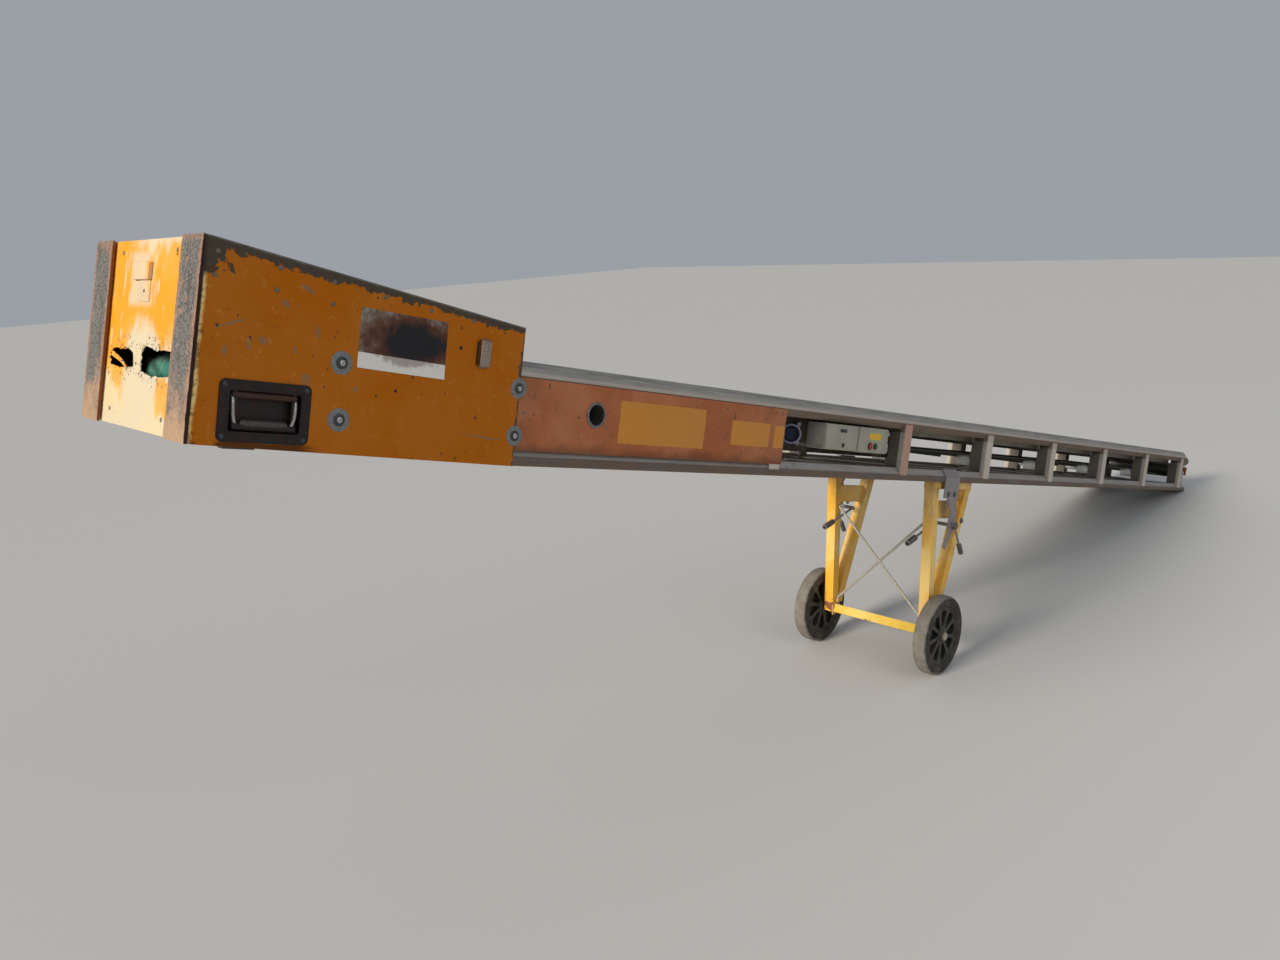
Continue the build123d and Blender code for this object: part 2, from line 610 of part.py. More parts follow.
def leg_plane(s_top, s_foot, n_foot, y):
    """Plane at the head of a leg, its normal along the leg towards the axle."""
    way = place(s_foot, y, n_foot) - place(s_top, y, BAR_LOW)
    return Plane(origin=place(s_top, y, BAR_LOW + 6), x_dir=(0, 1, 0), z_dir=way), way.length - 6


LEG_FOOT_OVER = 24.0
for side, hand in SIDES:
    y_leg = hand * LEG_Y
    front, front_length = leg_plane(LEG_TOP_FRONT, AXLE_S, AXLE_N, y_leg)
    rear, rear_length = leg_plane(LEG_TOP_REAR, *LEG_FOOT_REAR, y_leg)
    with BuildPart() as legs:
        with BuildSketch(front):
            Rectangle(LEG, LEG)
        extrude(amount=front_length + LEG_FOOT_OVER)
        with BuildSketch(rear):
            Rectangle(LEG, LEG)
        extrude(amount=rear_length)
        with BuildSketch(front.offset(LEG / 2)):
            Rectangle(LEG - 2 * LEG_WALL, LEG - 2 * LEG_WALL)
        extrude(amount=front_length + LEG_FOOT_OVER - LEG / 2 - LEG_WALL, mode=Mode.SUBTRACT)
        with BuildSketch(rear.offset(LEG / 2)):
            Rectangle(LEG - 2 * LEG_WALL, LEG - 2 * LEG_WALL)
        extrude(amount=rear_length - LEG / 2 - LEG, mode=Mode.SUBTRACT)
        with BuildSketch(beside(y_leg)):
            with Locations(((LEG_TOP_FRONT + LEG_TOP_REAR) / 2, (BAR_LOW + BAR_TOP) / 2)):
                Rectangle(LEG_TOP_REAR - LEG_TOP_FRONT + LEG + 10, BAR_TOP - BAR_LOW)
        extrude(amount=LEG / 2, both=True)
        with BuildSketch(beside(y_leg)):
            with BuildLine():
                Polyline((LEG_TOP_FRONT + 20, -76), (LEG_TOP_REAR - 30, -76), (LEG_TOP_REAR - 44, -142),
                         (LEG_TOP_FRONT + 32, -142), close=True)
            make_face()
        extrude(amount=3, both=True)
        with BuildSketch(beside(y_leg)):
            with Locations((AXLE_S, AXLE_N)):
                Circle(SPINDLE_D / 2)
        extrude(amount=LEG, both=True, mode=Mode.SUBTRACT)
        with BuildSketch(above(BAR_TOP)):
            with Locations(((LEG_TOP_FRONT + LEG_TOP_REAR) / 2, y_leg)):
                Rectangle(2 * (LEG_TOP_REAR - LEG_TOP_FRONT), 2 * LEG)
        extrude(amount=LEG, mode=Mode.SUBTRACT)
    legs.part.label = f"stand_legs_{side}"
    export_step(legs.part, f"parts/stand_legs_{side}.step")

LEG_IN = LEG_Y - LEG / 2
with BuildPart() as axle:
    with BuildSketch(beside(0)):
        with Locations((AXLE_S, AXLE_N)):
            Rectangle(34, 34, rotation=-TILT)
    extrude(amount=LEG_IN, both=True)
    with BuildSketch(beside(0)):
        with Locations((AXLE_S, AXLE_N)):
            Circle(SPINDLE_D / 2)
    extrude(amount=WHEEL_TRACK / 2 + TYRE_WIDTH / 2 + 6, both=True)
    for hand in (-1, 1):
        with BuildSketch(beside(hand * (WHEEL_TRACK / 2 + TYRE_WIDTH / 2 + 3))):
            with Locations((AXLE_S, AXLE_N)):
                Circle(SPINDLE_D / 2 + 5)
        extrude(amount=-hand * 3)
axle.part.label = "axle"
export_step(axle.part, "parts/axle.step")

# Crossed brace rods from leg head to leg foot, welded where they cross
BRACE_R = 5.0
brace_top = (LEG_TOP_FRONT + 28, -150.0)
brace_foot = (AXLE_S + 4, AXLE_N + 34)
with BuildPart() as brace_rods:
    for hand in (-1, 1):
        start = place(brace_top[0], hand * (LEG_IN + 8), brace_top[1])
        finish = place(brace_foot[0], -hand * (LEG_IN + 8), brace_foot[1])
        with BuildSketch(Plane(origin=start, z_dir=finish - start)):
            RegularPolygon(BRACE_R, ROD_CORNERS)
        extrude(amount=(finish - start).length)
    with BuildSketch(beside(0)):
        with Locations(((brace_top[0] + brace_foot[0]) / 2, (brace_top[1] + brace_foot[1]) / 2)):
            RegularPolygon(BRACE_R, ROD_CORNERS)
    extrude(amount=5, both=True)
    split(bisect_by=Plane.XZ.offset(LEG_IN), keep=Keep.BOTTOM)
    split(bisect_by=Plane.XZ.offset(-LEG_IN), keep=Keep.TOP)
brace_rods.part.label = "brace_rods"
export_step(brace_rods.part, "parts/brace_rods.step")

# Clamps: a strap hooked over each bottom rail with a lug under it, a cross pin below the gusset,
# and levers on the pin. Lever rods in columns: y, end s and n, radius, grip length, grip radius
CLAMP_S = 2863.0
CLAMP_WIDTH = 112.0
STRAP_T = 5.0
STRAP_LOW = -60.0
PIN_AT = (CLAMP_S + 37, -165.0)
LEVER_PLATE_T = 5.0
G = SLIDE_GAP
LEVER_RODS = (
    (LEG_IN - 10, 2702.0, -244.0, 4.5, 62.0, 11.0),
    (HALF + G + STRAP_T + 11, 2990.0, -276.0, 4.5, 48.0, 9.0),
)
for side, hand in SIDES:
    with BuildPart() as clamp:
        with BuildSketch(across(CLAMP_S - CLAMP_WIDTH / 2)):
            with BuildLine():
                Polyline(*[(hand * (HALF - u), n) for u, n in (
                    (RAIL_DEPTH - 26, BOTTOM_RAIL_H + G), (RAIL_BEVEL - G, BOTTOM_RAIL_H + G), (-G, 16),
                    (-G, STRAP_LOW), (-G - STRAP_T, STRAP_LOW), (-G - STRAP_T, 18),
                    (RAIL_BEVEL - 4, BOTTOM_RAIL_H + G + STRAP_T), (RAIL_DEPTH - 26, BOTTOM_RAIL_H + G + STRAP_T),
                )], close=True)
            make_face()
        extrude(amount=CLAMP_WIDTH)
        with BuildSketch(beside(hand * (HALF + G))):
            with BuildLine():
                Polyline(
                    (CLAMP_S - 30, STRAP_LOW + 2), (CLAMP_S + 46, STRAP_LOW + 2), (PIN_AT[0] + 28, PIN_AT[1] + 55),
                    (PIN_AT[0] + 28, PIN_AT[1] - 10), (PIN_AT[0] + 18, PIN_AT[1] - 20),
                    (PIN_AT[0] - 18, PIN_AT[1] - 20), (PIN_AT[0] - 28, PIN_AT[1] - 10),
                    (PIN_AT[0] - 28, PIN_AT[1] + 55), close=True,
                )
            make_face()
        extrude(amount=-hand * STRAP_T)
        with BuildSketch(beside(hand * (LEG_IN - 16))):
            with Locations(PIN_AT):
                RegularPolygon(7, GRIP_CORNERS)
        extrude(amount=-hand * (HALF + G + STRAP_T + 17 - LEG_IN + 16))
        with BuildSketch(beside(hand * (HALF + G + STRAP_T))):
            with BuildLine():
                Polyline((PIN_AT[0] + 12, PIN_AT[1] + 10), (PIN_AT[0] + 14, PIN_AT[1] - 8),
                         (PIN_AT[0] - 40, PIN_AT[1] - 92), (PIN_AT[0] - 58, PIN_AT[1] - 82),
                         (PIN_AT[0] - 14, PIN_AT[1] + 8), close=True)
            make_face()
        extrude(amount=-hand * LEVER_PLATE_T)
        for y_rod, s_end, n_end, rod_r, grip_length, grip_r in LEVER_RODS:
            start = place(PIN_AT[0], hand * y_rod, PIN_AT[1])
            finish = place(s_end, hand * y_rod, n_end)
            with BuildSketch(Plane(origin=start, z_dir=finish - start)):
                RegularPolygon(rod_r, ROD_CORNERS)
            extrude(amount=(finish - start).length)
            with BuildSketch(Plane(origin=finish, z_dir=start - finish)):
                RegularPolygon(grip_r, GRIP_CORNERS)
            extrude(amount=grip_length)
    clamp.part.label = f"clamp_{side}"
    export_step(clamp.part, f"parts/clamp_{side}.step")

# Wheels: solid rubber tyres on moulded hubs with a ring of pockets in both faces
HUB_BOSS = 24.0
RING_T = 10.0
RIM_CORNERS = 60
BOSS_CORNERS = 18
HUB_HALF = 18.0
WEB_HALF = 4.0
POCKETS = 9
POCKET_OUTLINE = ((36, -4), (98, -19), (98, 19), (36, 4))
TYRE_SHOULDER = 12.0
# Columns: radius, corners, half width of the hub's rim ring and boss
HUB_STEPS = (
    (RIM_D / 2, RIM_CORNERS, TYRE_WIDTH / 2 - 4),
    (HUB_BOSS, BOSS_CORNERS, TYRE_WIDTH / 2 - 0.5),
)
for side, hand in SIDES:
    centre = place(AXLE_S, hand * WHEEL_TRACK / 2, AXLE_N)
    wheel_axis = Axis(origin=(centre.X, centre.Y, centre.Z), direction=(0, 1, 0))
    profile_plane = Plane(origin=centre, x_dir=(1, 0, 0), z_dir=(0, 0, 1))
    with BuildPart() as tyre:
        with BuildSketch(profile_plane):
            with BuildLine():
                t = TYRE_WIDTH / 2
                Polyline(
                    (RIM_D / 2, -t), (WHEEL_R - 8, -t), (WHEEL_R, -t + TYRE_SHOULDER),
                    (WHEEL_R, t - TYRE_SHOULDER), (WHEEL_R - 8, t), (RIM_D / 2, t), close=True,
                )
            make_face()
        revolve(axis=wheel_axis)
    tyre.part.label = f"tyre_{side}"
    export_step(tyre.part, f"parts/tyre_{side}.step")

    wheel_plane = Plane(origin=centre, x_dir=(1, 0, 0), z_dir=(0, -1, 0))
    with BuildPart() as hub:
        for radius, corners, half in HUB_STEPS:
            with BuildSketch(wheel_plane):
                RegularPolygon(radius, corners)
            extrude(amount=half, both=True)
        for facing in (-1, 1):
            with BuildSketch(wheel_plane.offset(facing * HUB_HALF)):
                RegularPolygon(RIM_D / 2 - RING_T, RIM_CORNERS)
                RegularPolygon(HUB_BOSS, BOSS_CORNERS, mode=Mode.SUBTRACT)
            extrude(amount=facing * HUB_HALF, mode=Mode.SUBTRACT)
        for facing in (-1, 1):
            with BuildSketch(Plane(origin=centre, x_dir=(1, 0, 0), z_dir=(0, facing, 0)).offset(WEB_HALF)):
                with PolarLocations(0, POCKETS):
                    Polygon(*POCKET_OUTLINE, align=None)
            extrude(amount=HUB_HALF, mode=Mode.SUBTRACT)
        with BuildSketch(wheel_plane):
            RegularPolygon(SPINDLE_D / 2 + PIN_GAP, BOSS_CORNERS, major_radius=False)
        extrude(amount=TYRE_WIDTH, both=True, mode=Mode.SUBTRACT)
    hub.part.label = f"hub_{side}"
    export_step(hub.part, f"parts/hub_{side}.step")
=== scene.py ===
"""Looks of the mobile belt conveyor: its finishes, small parts, worn surfaces and a plain studio.

Every piece is placed in deck coordinates: s runs along the conveyor from its hopper end, y across it
(+ is left) and n square to it, in metres.
"""

import logging
import math
from dataclasses import dataclass, replace
from enum import Enum
from typing import Callable, Sequence

import bmesh
import bpy
import numpy as np
from mathutils import Matrix, Vector


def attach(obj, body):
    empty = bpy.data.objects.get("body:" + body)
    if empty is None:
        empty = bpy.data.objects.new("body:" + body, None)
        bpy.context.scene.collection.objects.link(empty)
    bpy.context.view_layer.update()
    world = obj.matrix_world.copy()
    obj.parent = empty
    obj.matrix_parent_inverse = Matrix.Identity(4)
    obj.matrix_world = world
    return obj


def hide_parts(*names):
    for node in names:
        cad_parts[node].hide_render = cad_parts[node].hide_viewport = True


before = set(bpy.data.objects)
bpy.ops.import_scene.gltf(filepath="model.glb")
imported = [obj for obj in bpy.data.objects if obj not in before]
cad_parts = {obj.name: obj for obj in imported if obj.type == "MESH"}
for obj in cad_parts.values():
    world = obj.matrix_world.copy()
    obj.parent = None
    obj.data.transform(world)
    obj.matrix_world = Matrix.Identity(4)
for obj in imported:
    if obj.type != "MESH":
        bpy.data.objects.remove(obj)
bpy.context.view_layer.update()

LOG = logging.getLogger("conveyor")
Colour = tuple[float, float, float]
TAU = 2 * math.pi
LEVEL = np.array([1.0, 0.0, 0.0])
ACROSS = np.array([0.0, 1.0, 0.0])
UPRIGHT = np.array([0.0, 0.0, 1.0])


class Body(Enum):
    """The moving bodies of the conveyor."""

    CONVEYOR = "conveyor"
    STAND = "wheel_stand"
    LEFT = "wheel_left"
    RIGHT = "wheel_right"


class Slot(Enum):
    """The record's material slots."""

    FRAME = "frame_metal"
    PAINT = "yellow_paint"
    PANEL = "panel_paint"
    STRIP = "bump_wood"
    BELT = "belt_rubber"
    DRUM = "drum_steel"
    SHEET = "sheet_steel"
    DARK = "dark_steel"
    CLAMP = "clamp_steel"
    TYRE = "tyre_rubber"
    HUB = "hub_plastic"
    BOX = "box_plastic"
    INLET = "inlet_plastic"


class Side(Enum):
    """The two sides of the conveyor, with the sign of y on each."""

    RIGHT = -1
    LEFT = 1


# Places.


def unit(vector: np.ndarray) -> np.ndarray:
    """The vectors along the last axis, each divided by its length."""
    return vector / np.linalg.norm(vector, axis=-1, keepdims=True)


@dataclass(frozen=True)
class Seat:
    """A place that a small part is made on: an origin and three square directions."""

    origin: np.ndarray
    along: np.ndarray
    up: np.ndarray
    out: np.ndarray

    def put(self, local: np.ndarray) -> np.ndarray:
        """World points of local ones: origin plus each coordinate times its direction.

        Args:
            local: points with along, up and out in their last axis.

        Returns:
            The same points in the row frame.
        """
        return (self.origin + local[..., :1] * self.along + local[..., 1:2] * self.up
                + local[..., 2:3] * self.out)

    def shifted(self, along: float = 0.0, up: float = 0.0, out: float = 0.0) -> "Seat":
        """The same directions at an origin moved by these lengths."""
        return Seat(self.put(np.array([along, up, out])), self.along, self.up, self.out)

    def turned(self, angle: float) -> "Seat":
        """The seat turned about its out direction by an angle in radians."""
        c, s = math.cos(angle), math.sin(angle)
        return Seat(self.origin, c * self.along + s * self.up, c * self.up - s * self.along, self.out)


@dataclass(frozen=True)
class Deck:
    """The conveyor's slope: turns deck coordinates into the row frame."""

    length: float = 6.0
    tilt: float = math.radians(13.5)
    strip_foot: tuple[float, float] = (-0.017, 0.017)
    screw_end: tuple[float, float] = (6.026, 0.130)

    @property
    def along(self) -> np.ndarray:
        """Direction of s."""
        return np.array([math.cos(self.tilt), 0.0, -math.sin(self.tilt)])

    @property
    def square(self) -> np.ndarray:
        """Direction of n."""
        return np.array([math.sin(self.tilt), 0.0, math.cos(self.tilt)])

    @property
    def origin(self) -> np.ndarray:
        """World point of the deck's zero, so that the part lies midway over the origin, as the solids do.

        Returns:
            The point.
        """
        ends = [(s - self.length) * math.cos(self.tilt) + n * math.sin(self.tilt)
                for s, n in (self.strip_foot, self.screw_end)]
        return np.array([-self.length * math.cos(self.tilt) - sum(ends) / 2, 0.0,
                self.length * math.sin(self.tilt)])

    def world(self, s: float | np.ndarray, y: float | np.ndarray, n: float | np.ndarray) -> np.ndarray:
        """World points: the origin plus s and n along the slope's directions and y across.

        Args:
            s: length along the conveyor.
            y: place across it.
            n: height square to it.

        Returns:
            Points with x, y and z in the last axis.
        """
        s, y, n = np.broadcast_arrays(np.asarray(s, float), np.asarray(y, float), np.asarray(n, float))
        return (self.origin + s[..., None] * self.along + y[..., None] * ACROSS
                + n[..., None] * self.square)

    def side_seat(self, s: float, y: float, n: float, side: Side = Side.RIGHT) -> Seat:
        """A seat on a side face at |y|, whose out direction points away from the conveyor."""
        return Seat(self.world(s, side.value * y, n), self.along, self.square, side.value * ACROSS)

    def top_seat(self, s: float, y: float, n: float) -> Seat:
        """A seat on a face of the deck, whose out direction is n."""
        return Seat(self.world(s, y, n), self.along, ACROSS, self.square)

    def end_seat(self, s: float, y: float, n: float, facing: int = 1) -> Seat:
        """A seat on a face square to s, looking along s or against it."""
        return Seat(self.world(s, y, n), ACROSS, self.square, facing * self.along)


DECK = Deck()

# The hopper in s and n: foot and head of its rear fold, its front end, and the fall of its upper edge.
HOOD_FOOT = (-0.010, 0.017)
HOOD_HEAD = (-0.002, 0.373)
HOOD_END = 0.703
HOOD_FALL = (0.307 - HOOD_HEAD[1]) / 0.705

# |y| of the frame's outer face, of the hopper's and of the wheels' middle planes.
HALF = 0.250
PLATE_Y = 0.253
WHEEL_Y = 0.2695

# s of the open bays' cross frames, the wheels' radius and the axle's place.
POSTS = tuple(2.459 + i * 0.679 for i in range(6))
WHEEL_R = 0.155
AXLE_S = 2.878
AXLE_N = (WHEEL_R - (DECK.length - AXLE_S) * math.sin(DECK.tilt)) / math.cos(DECK.tilt)


def rear_seat(y: float, height: float, out: float = 0.0) -> Seat:
    """A seat on the hopper's leaning rear face, looking outwards.

    Args:
        y: place across the face.
        height: over the face's foot.
        out: distance off the face.

    Returns:
        The seat.
    """
    foot, head = DECK.world(HOOD_FOOT[0], 0.0, HOOD_FOOT[1]), DECK.world(HOOD_HEAD[0], 0.0, HOOD_HEAD[1])
    up = unit(head - foot)
    return Seat(foot, ACROSS, up, np.cross(up, ACROSS)).shifted(y, height, out)


# Shapes.


def turned_shape(profile: Sequence[tuple[float, float]], seat: Seat, steps: int = 24,
        phase: float = 0.0) -> np.ndarray:
    """A profile of radius and height turned about the seat's out direction.

    Formula: at angle a, a point is radius times cosine a along, radius times sine a up, height out.

    Args:
        profile: radius and height of each ring.
        seat: where the axis stands.
        steps: number of angles round the axis.
        phase: angle of the first one.

    Returns:
        Grid of steps by profile points, closed in its first direction.
    """
    rings = np.asarray(profile, float)
    angle = phase + np.linspace(0.0, TAU, steps, endpoint=False)[:, None]
    radius, height = rings[None, :, 0], np.broadcast_to(rings[None, :, 1], (steps, len(rings)))
    return seat.put(np.stack([radius * np.cos(angle), radius * np.sin(angle), height], -1))


def carried_shape(path: np.ndarray, profile: np.ndarray, up: Sequence[float],
        scale: np.ndarray | None = None) -> np.ndarray:
    """A closed profile carried along a path.

    Formula: a point is the path's point plus the profile's first number along the side direction and
    its second along the top direction, where side is tangent cross up and top is side cross tangent.

    Args:
        path: points to follow.
        profile: closed outline, two numbers a point.
        up: direction that the profile's second number keeps to.
        scale: size of the profile at each path point.

    Returns:
        Grid of path points by profile points, closed in its second direction.
    """
    path = np.asarray(path, float)
    tangent = unit(np.gradient(path, axis=0))
    side = unit(np.cross(tangent, np.asarray(up, float)))
    top = np.cross(side, tangent)
    size = np.ones(len(path)) if scale is None else np.asarray(scale, float)
    outline = profile[None] * size[:, None, None]
    return path[:, None] + outline[..., :1] * side[:, None] + outline[..., 1:] * top[:, None]


def round_profile(radius: float, steps: int = 10) -> np.ndarray:
    """A circle: radius times cosine and sine of evenly spaced angles."""
    angle = np.linspace(0.0, TAU, steps, endpoint=False)
    return radius * np.stack([np.cos(angle), np.sin(angle)], -1)


def rounded_outline(width: float, height: float, radius: float, steps: int = 5) -> np.ndarray:
    """A rectangle with round corners: each corner's centre plus the radius at angles over its quarter.

    Args:
        width: size along.
        height: size up.
        radius: of the corners.
        steps: spans in each quarter.

    Returns:
        Outline points, anticlockwise.
    """
    quarter = np.arange(4)[:, None]
    angle = (quarter + np.linspace(0.0, 1.0, steps + 1)[None]) * math.pi / 2
    signs = np.array([[1, 1], [-1, 1], [-1, -1], [1, -1]])[:, None]
    centre = signs * np.array([width / 2 - radius, height / 2 - radius])
    return (centre + radius * np.stack([np.cos(angle), np.sin(angle)], -1)).reshape(-1, 2)


def inset_outline(outline: np.ndarray, depth: float) -> np.ndarray:
    """An outline moved inwards.

    Formula: each corner shifts by depth times the mitred sum of its two edges' normals.

    Args:
        outline: anticlockwise points.
        depth: length of the shift.

    Returns:
        The moved points.
    """
    before, after = outline - np.roll(outline, 1, 0), np.roll(outline, -1, 0) - outline
    normals = [np.stack([-e[:, 1], e[:, 0]], -1) / np.maximum(np.linalg.norm(e, axis=1, keepdims=True), 1e-9)
               for e in (before, after)]
    mitre = 1 + np.sum(normals[0] * normals[1], 1, keepdims=True)
    return outline + depth * (normals[0] + normals[1]) / np.maximum(mitre, 0.3)


def plate_shape(outline: np.ndarray, seat: Seat, thick: float, edge: float = 0.0006) -> np.ndarray:
    """A plate with a broken upper edge, as rings of its outline at growing heights.

    Formula: the foot ring at height zero, a ring at thick less edge, and the inset outline at thick.

    Args:
        outline: anticlockwise points along and up.
        seat: its foot face.
        thick: height of the plate.
        edge: width of the broken edge.

    Returns:
        Grid of rings by outline points, closed in its second direction.
    """
    rings = ((outline, 0.0), (outline, thick - edge),
             (inset_outline(outline, edge * 0.4), thick - 0.35 * edge), (inset_outline(outline, edge), thick))
    return np.stack([seat.put(np.column_stack([ring, np.full(len(ring), height)])) for ring, height in rings])


def block_shape(seat: Seat, size: Sequence[float], radius: float, steps: int = 3) -> np.ndarray:
    """A block with round edges, standing on the seat.

    Formula: each point is a corner of the inner block plus the radius along a direction of the sphere
    whose octant has that corner's signs.

    Args:
        seat: middle of its foot face.
        size: lengths along, up and out.
        radius: of the edges.
        steps: spans in each quarter.

    Returns:
        Grid of heights by angles, closed in its second direction.
    """
    quarter, part = np.arange(4)[:, None], np.linspace(0.0, 1.0, steps + 1)[None]
    round_angle = ((quarter + part) * math.pi / 2).ravel()
    round_signs = np.repeat(np.array([[1, 1], [-1, 1], [-1, -1], [1, -1]]), steps + 1, 0)
    lift = np.concatenate([np.linspace(-math.pi / 2, 0, steps + 1), np.linspace(0, math.pi / 2, steps + 1)])
    lift_sign = np.repeat([-1, 1], steps + 1)
    half = np.asarray(size, float) / 2 - radius
    flat = np.cos(lift)[:, None]
    local = np.stack([
        round_signs[None, :, 0] * half[0] + radius * flat * np.cos(round_angle)[None],
        round_signs[None, :, 1] * half[1] + radius * flat * np.sin(round_angle)[None],
        np.broadcast_to((lift_sign * half[2] + radius * np.sin(lift))[:, None] + size[2] / 2,
                        (len(lift), len(round_angle))),
    ], -1)
    return seat.put(local)


def smooth_path(knots: np.ndarray, count: int) -> np.ndarray:
    """A smooth curve through knots.

    Formula: at part f of the way between two knots, a point is the cubic in f that passes both knots,
    each in the direction from the knot before it to the one after it.

    Args:
        knots: points that the curve passes.
        count: number of its points.

    Returns:
        The curve's points.
    """
    t = np.linspace(0, len(knots) - 1, count)
    low = np.clip(t.astype(int), 0, len(knots) - 2)
    f = (t - low)[:, None]
    pad = np.vstack([2 * knots[0] - knots[1], knots, 2 * knots[-1] - knots[-2]])
    p = [pad[low + i] for i in range(4)]
    return 0.5 * (2 * p[1] + (p[2] - p[0]) * f + (2 * p[0] - 5 * p[1] + 4 * p[2] - p[3]) * f ** 2
                  + (3 * p[1] - p[0] - 3 * p[2] + p[3]) * f ** 3)


class Stock:
    """Gathers grids of points into one piece and makes its object."""

    def __init__(self, name: str) -> None:
        """Starts an empty piece with this name."""
        self.name = name
        self.points: list[np.ndarray] = []
        self.faces: list[np.ndarray] = []
        self.total = 0

    def grid(self, points: np.ndarray, wrap_first: bool = False, wrap_second: bool = False,
            caps: bool = False) -> "Stock":
        """Adds a surface whose points lie on a grid.

        Args:
            points: grid of points, two directions and x, y, z.
            wrap_first: joins the first direction's end to its start.
            wrap_second: joins the second direction's end to its start.
            caps: closes the first and last rings of the open direction with one face each.

        Returns:
            The piece, so that calls can follow one another.
        """
        rows, columns = points.shape[:2]
        index = np.arange(rows * columns).reshape(rows, columns) + self.total
        ends = (index[0], index[-1]) if wrap_second else (index[:, 0], index[:, -1])
        index = np.vstack([index, index[:1]]) if wrap_first else index
        index = np.hstack([index, index[:, :1]]) if wrap_second else index
        quads = np.stack([index[:-1, :-1], index[1:, :-1], index[1:, 1:], index[:-1, 1:]], -1).reshape(-1, 4)
        self.faces.append(quads)
        if caps:
            self.faces.extend([ends[0][None], ends[1][None]])
        self.points.append(points.reshape(-1, 3))
        self.total += rows * columns
        return self

    def turned(self, profile: Sequence[tuple[float, float]], seat: Seat, steps: int = 24,
            phase: float = 0.0) -> "Stock":
        """Adds a turned profile; its ends close where their radius is zero."""
        return self.grid(turned_shape(profile, seat, steps, phase), wrap_first=True)

    def carried(self, path: np.ndarray, profile: np.ndarray, up: Sequence[float],
            scale: np.ndarray | None = None) -> "Stock":
        """Adds a closed profile carried along a path, with both ends closed."""
        return self.grid(carried_shape(path, profile, up, scale), wrap_second=True, caps=True)

    def plate(self, outline: np.ndarray, seat: Seat, thick: float, edge: float = 0.0006) -> "Stock":
        """Adds a plate with a broken edge."""
        return self.grid(plate_shape(outline, seat, thick, edge), wrap_second=True, caps=True)

    def block(self, seat: Seat, size: Sequence[float], radius: float, steps: int = 3) -> "Stock":
        """Adds a block with round edges."""
        return self.grid(block_shape(seat, size, radius, steps), wrap_second=True, caps=True)

    def object(self, finish: "Finish", slot: Slot, body: Body = Body.CONVEYOR,
               replaces: Sequence[str] = (), smooth: float = 38.0) -> bpy.types.Object:
        """Makes the mesh object, dresses it and lets it ride on its body.

        Args:
            finish: its material.
            slot: the record's material slot of the piece; not used.
            body: what it moves with.
            replaces: solids that it stands for.
            smooth: edges sharper than this angle, in degrees, stay sharp.

        Returns:
            The finished object.
        """
        mesh = bpy.data.meshes.new(self.name)
        points = np.concatenate(self.points)
        corners = np.concatenate([f.ravel() for f in self.faces]).astype(np.int32)
        counts = np.concatenate([np.full(len(f), f.shape[1]) for f in self.faces]).astype(np.int32)
        mesh.vertices.add(len(points))
        mesh.vertices.foreach_set("co", points.astype(np.float32).ravel())
        mesh.loops.add(len(corners))
        mesh.loops.foreach_set("vertex_index", corners)
        mesh.polygons.add(len(counts))
        starts = np.concatenate([[0], np.cumsum(counts)[:-1]]).astype(np.int32)
        mesh.polygons.foreach_set("loop_start", starts)
        mesh.polygons.foreach_set("loop_total", counts)
        mesh.update(calc_edges=True)
        mesh.validate()
        work = bmesh.new()
        work.from_mesh(mesh)
        bmesh.ops.remove_doubles(work, verts=work.verts, dist=1e-6)
        bmesh.ops.dissolve_degenerate(work, edges=work.edges, dist=1e-6)
        bmesh.ops.recalc_face_normals(work, faces=work.faces)
        work.to_mesh(mesh)
        work.free()
        mesh.polygons.foreach_set("use_smooth", np.ones(len(mesh.polygons), bool))
        mesh.set_sharp_from_angle(angle=math.radians(smooth))
        piece = bpy.data.objects.new(self.name, mesh)
        bpy.context.scene.collection.objects.link(piece)
        mesh.materials.append(finish.material())
        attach(piece, body.value)
        if replaces:
            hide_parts(*replaces)
        LOG.info("%s: %d faces on %s", self.name, len(mesh.polygons), body.value)
        return piece


def broken_edge(piece: bpy.types.Object, width: float) -> None:
    """Breaks a piece's sharp edges with a live bevel, after its loose faces are merged.

    Args:
        piece: the object that gets the modifiers.
        width: of the broken edge.
    """
    weld = piece.modifiers.new("merge", "WELD")
    weld.merge_threshold = 1e-5
    bevel = piece.modifiers.new("broken edge", "BEVEL")
    bevel.width, bevel.segments, bevel.limit_method = width, 2, "ANGLE"
    bevel.angle_limit = math.radians(34)
    bevel.use_clamp_overlap = True


# Fasteners.


@dataclass(frozen=True)
class Bolt:
    """A hexagon bolt head with its washer and the end of its shank."""

    across: float = 0.008
    height: float = 0.0055
    washer: float = 0.013
    washer_t: float = 0.0016

    def add(self, stock: Stock, seat: Seat, phase: float = 0.0) -> None:
        """Adds the washer and the chamfered head on a seat.

        Args:
            stock: piece that it joins.
            seat: the face that it sits on.
            phase: angle that the head is turned by.
        """
        w, t, a, h = self.washer, self.washer_t, self.across, self.height
        if w:
            stock.turned([(0, 0), (w, 0), (w, t * 0.7), (w - t * 0.3, t), (0, t)], seat, 28)
        base = seat.shifted(out=t)
        stock.turned([(0, 0), (a, 0), (a, h * 0.8), (a * 0.86, h), (0, h)], base, 6, phase)


@dataclass(frozen=True)
class Rivet:
    """A domed rivet or pan head: its height falls from the middle as a circle's arc."""

    radius: float = 0.004
    height: float = 0.0018

    def add(self, stock: Stock, seat: Seat) -> None:
        """Adds the dome on a seat."""
        angle = np.linspace(0.0, math.pi / 2, 6)
        rings = np.stack([self.radius * np.cos(angle), self.height * np.sin(angle)], -1)
        stock.turned([tuple(r) for r in rings] + [(0, self.height)], seat, 14)


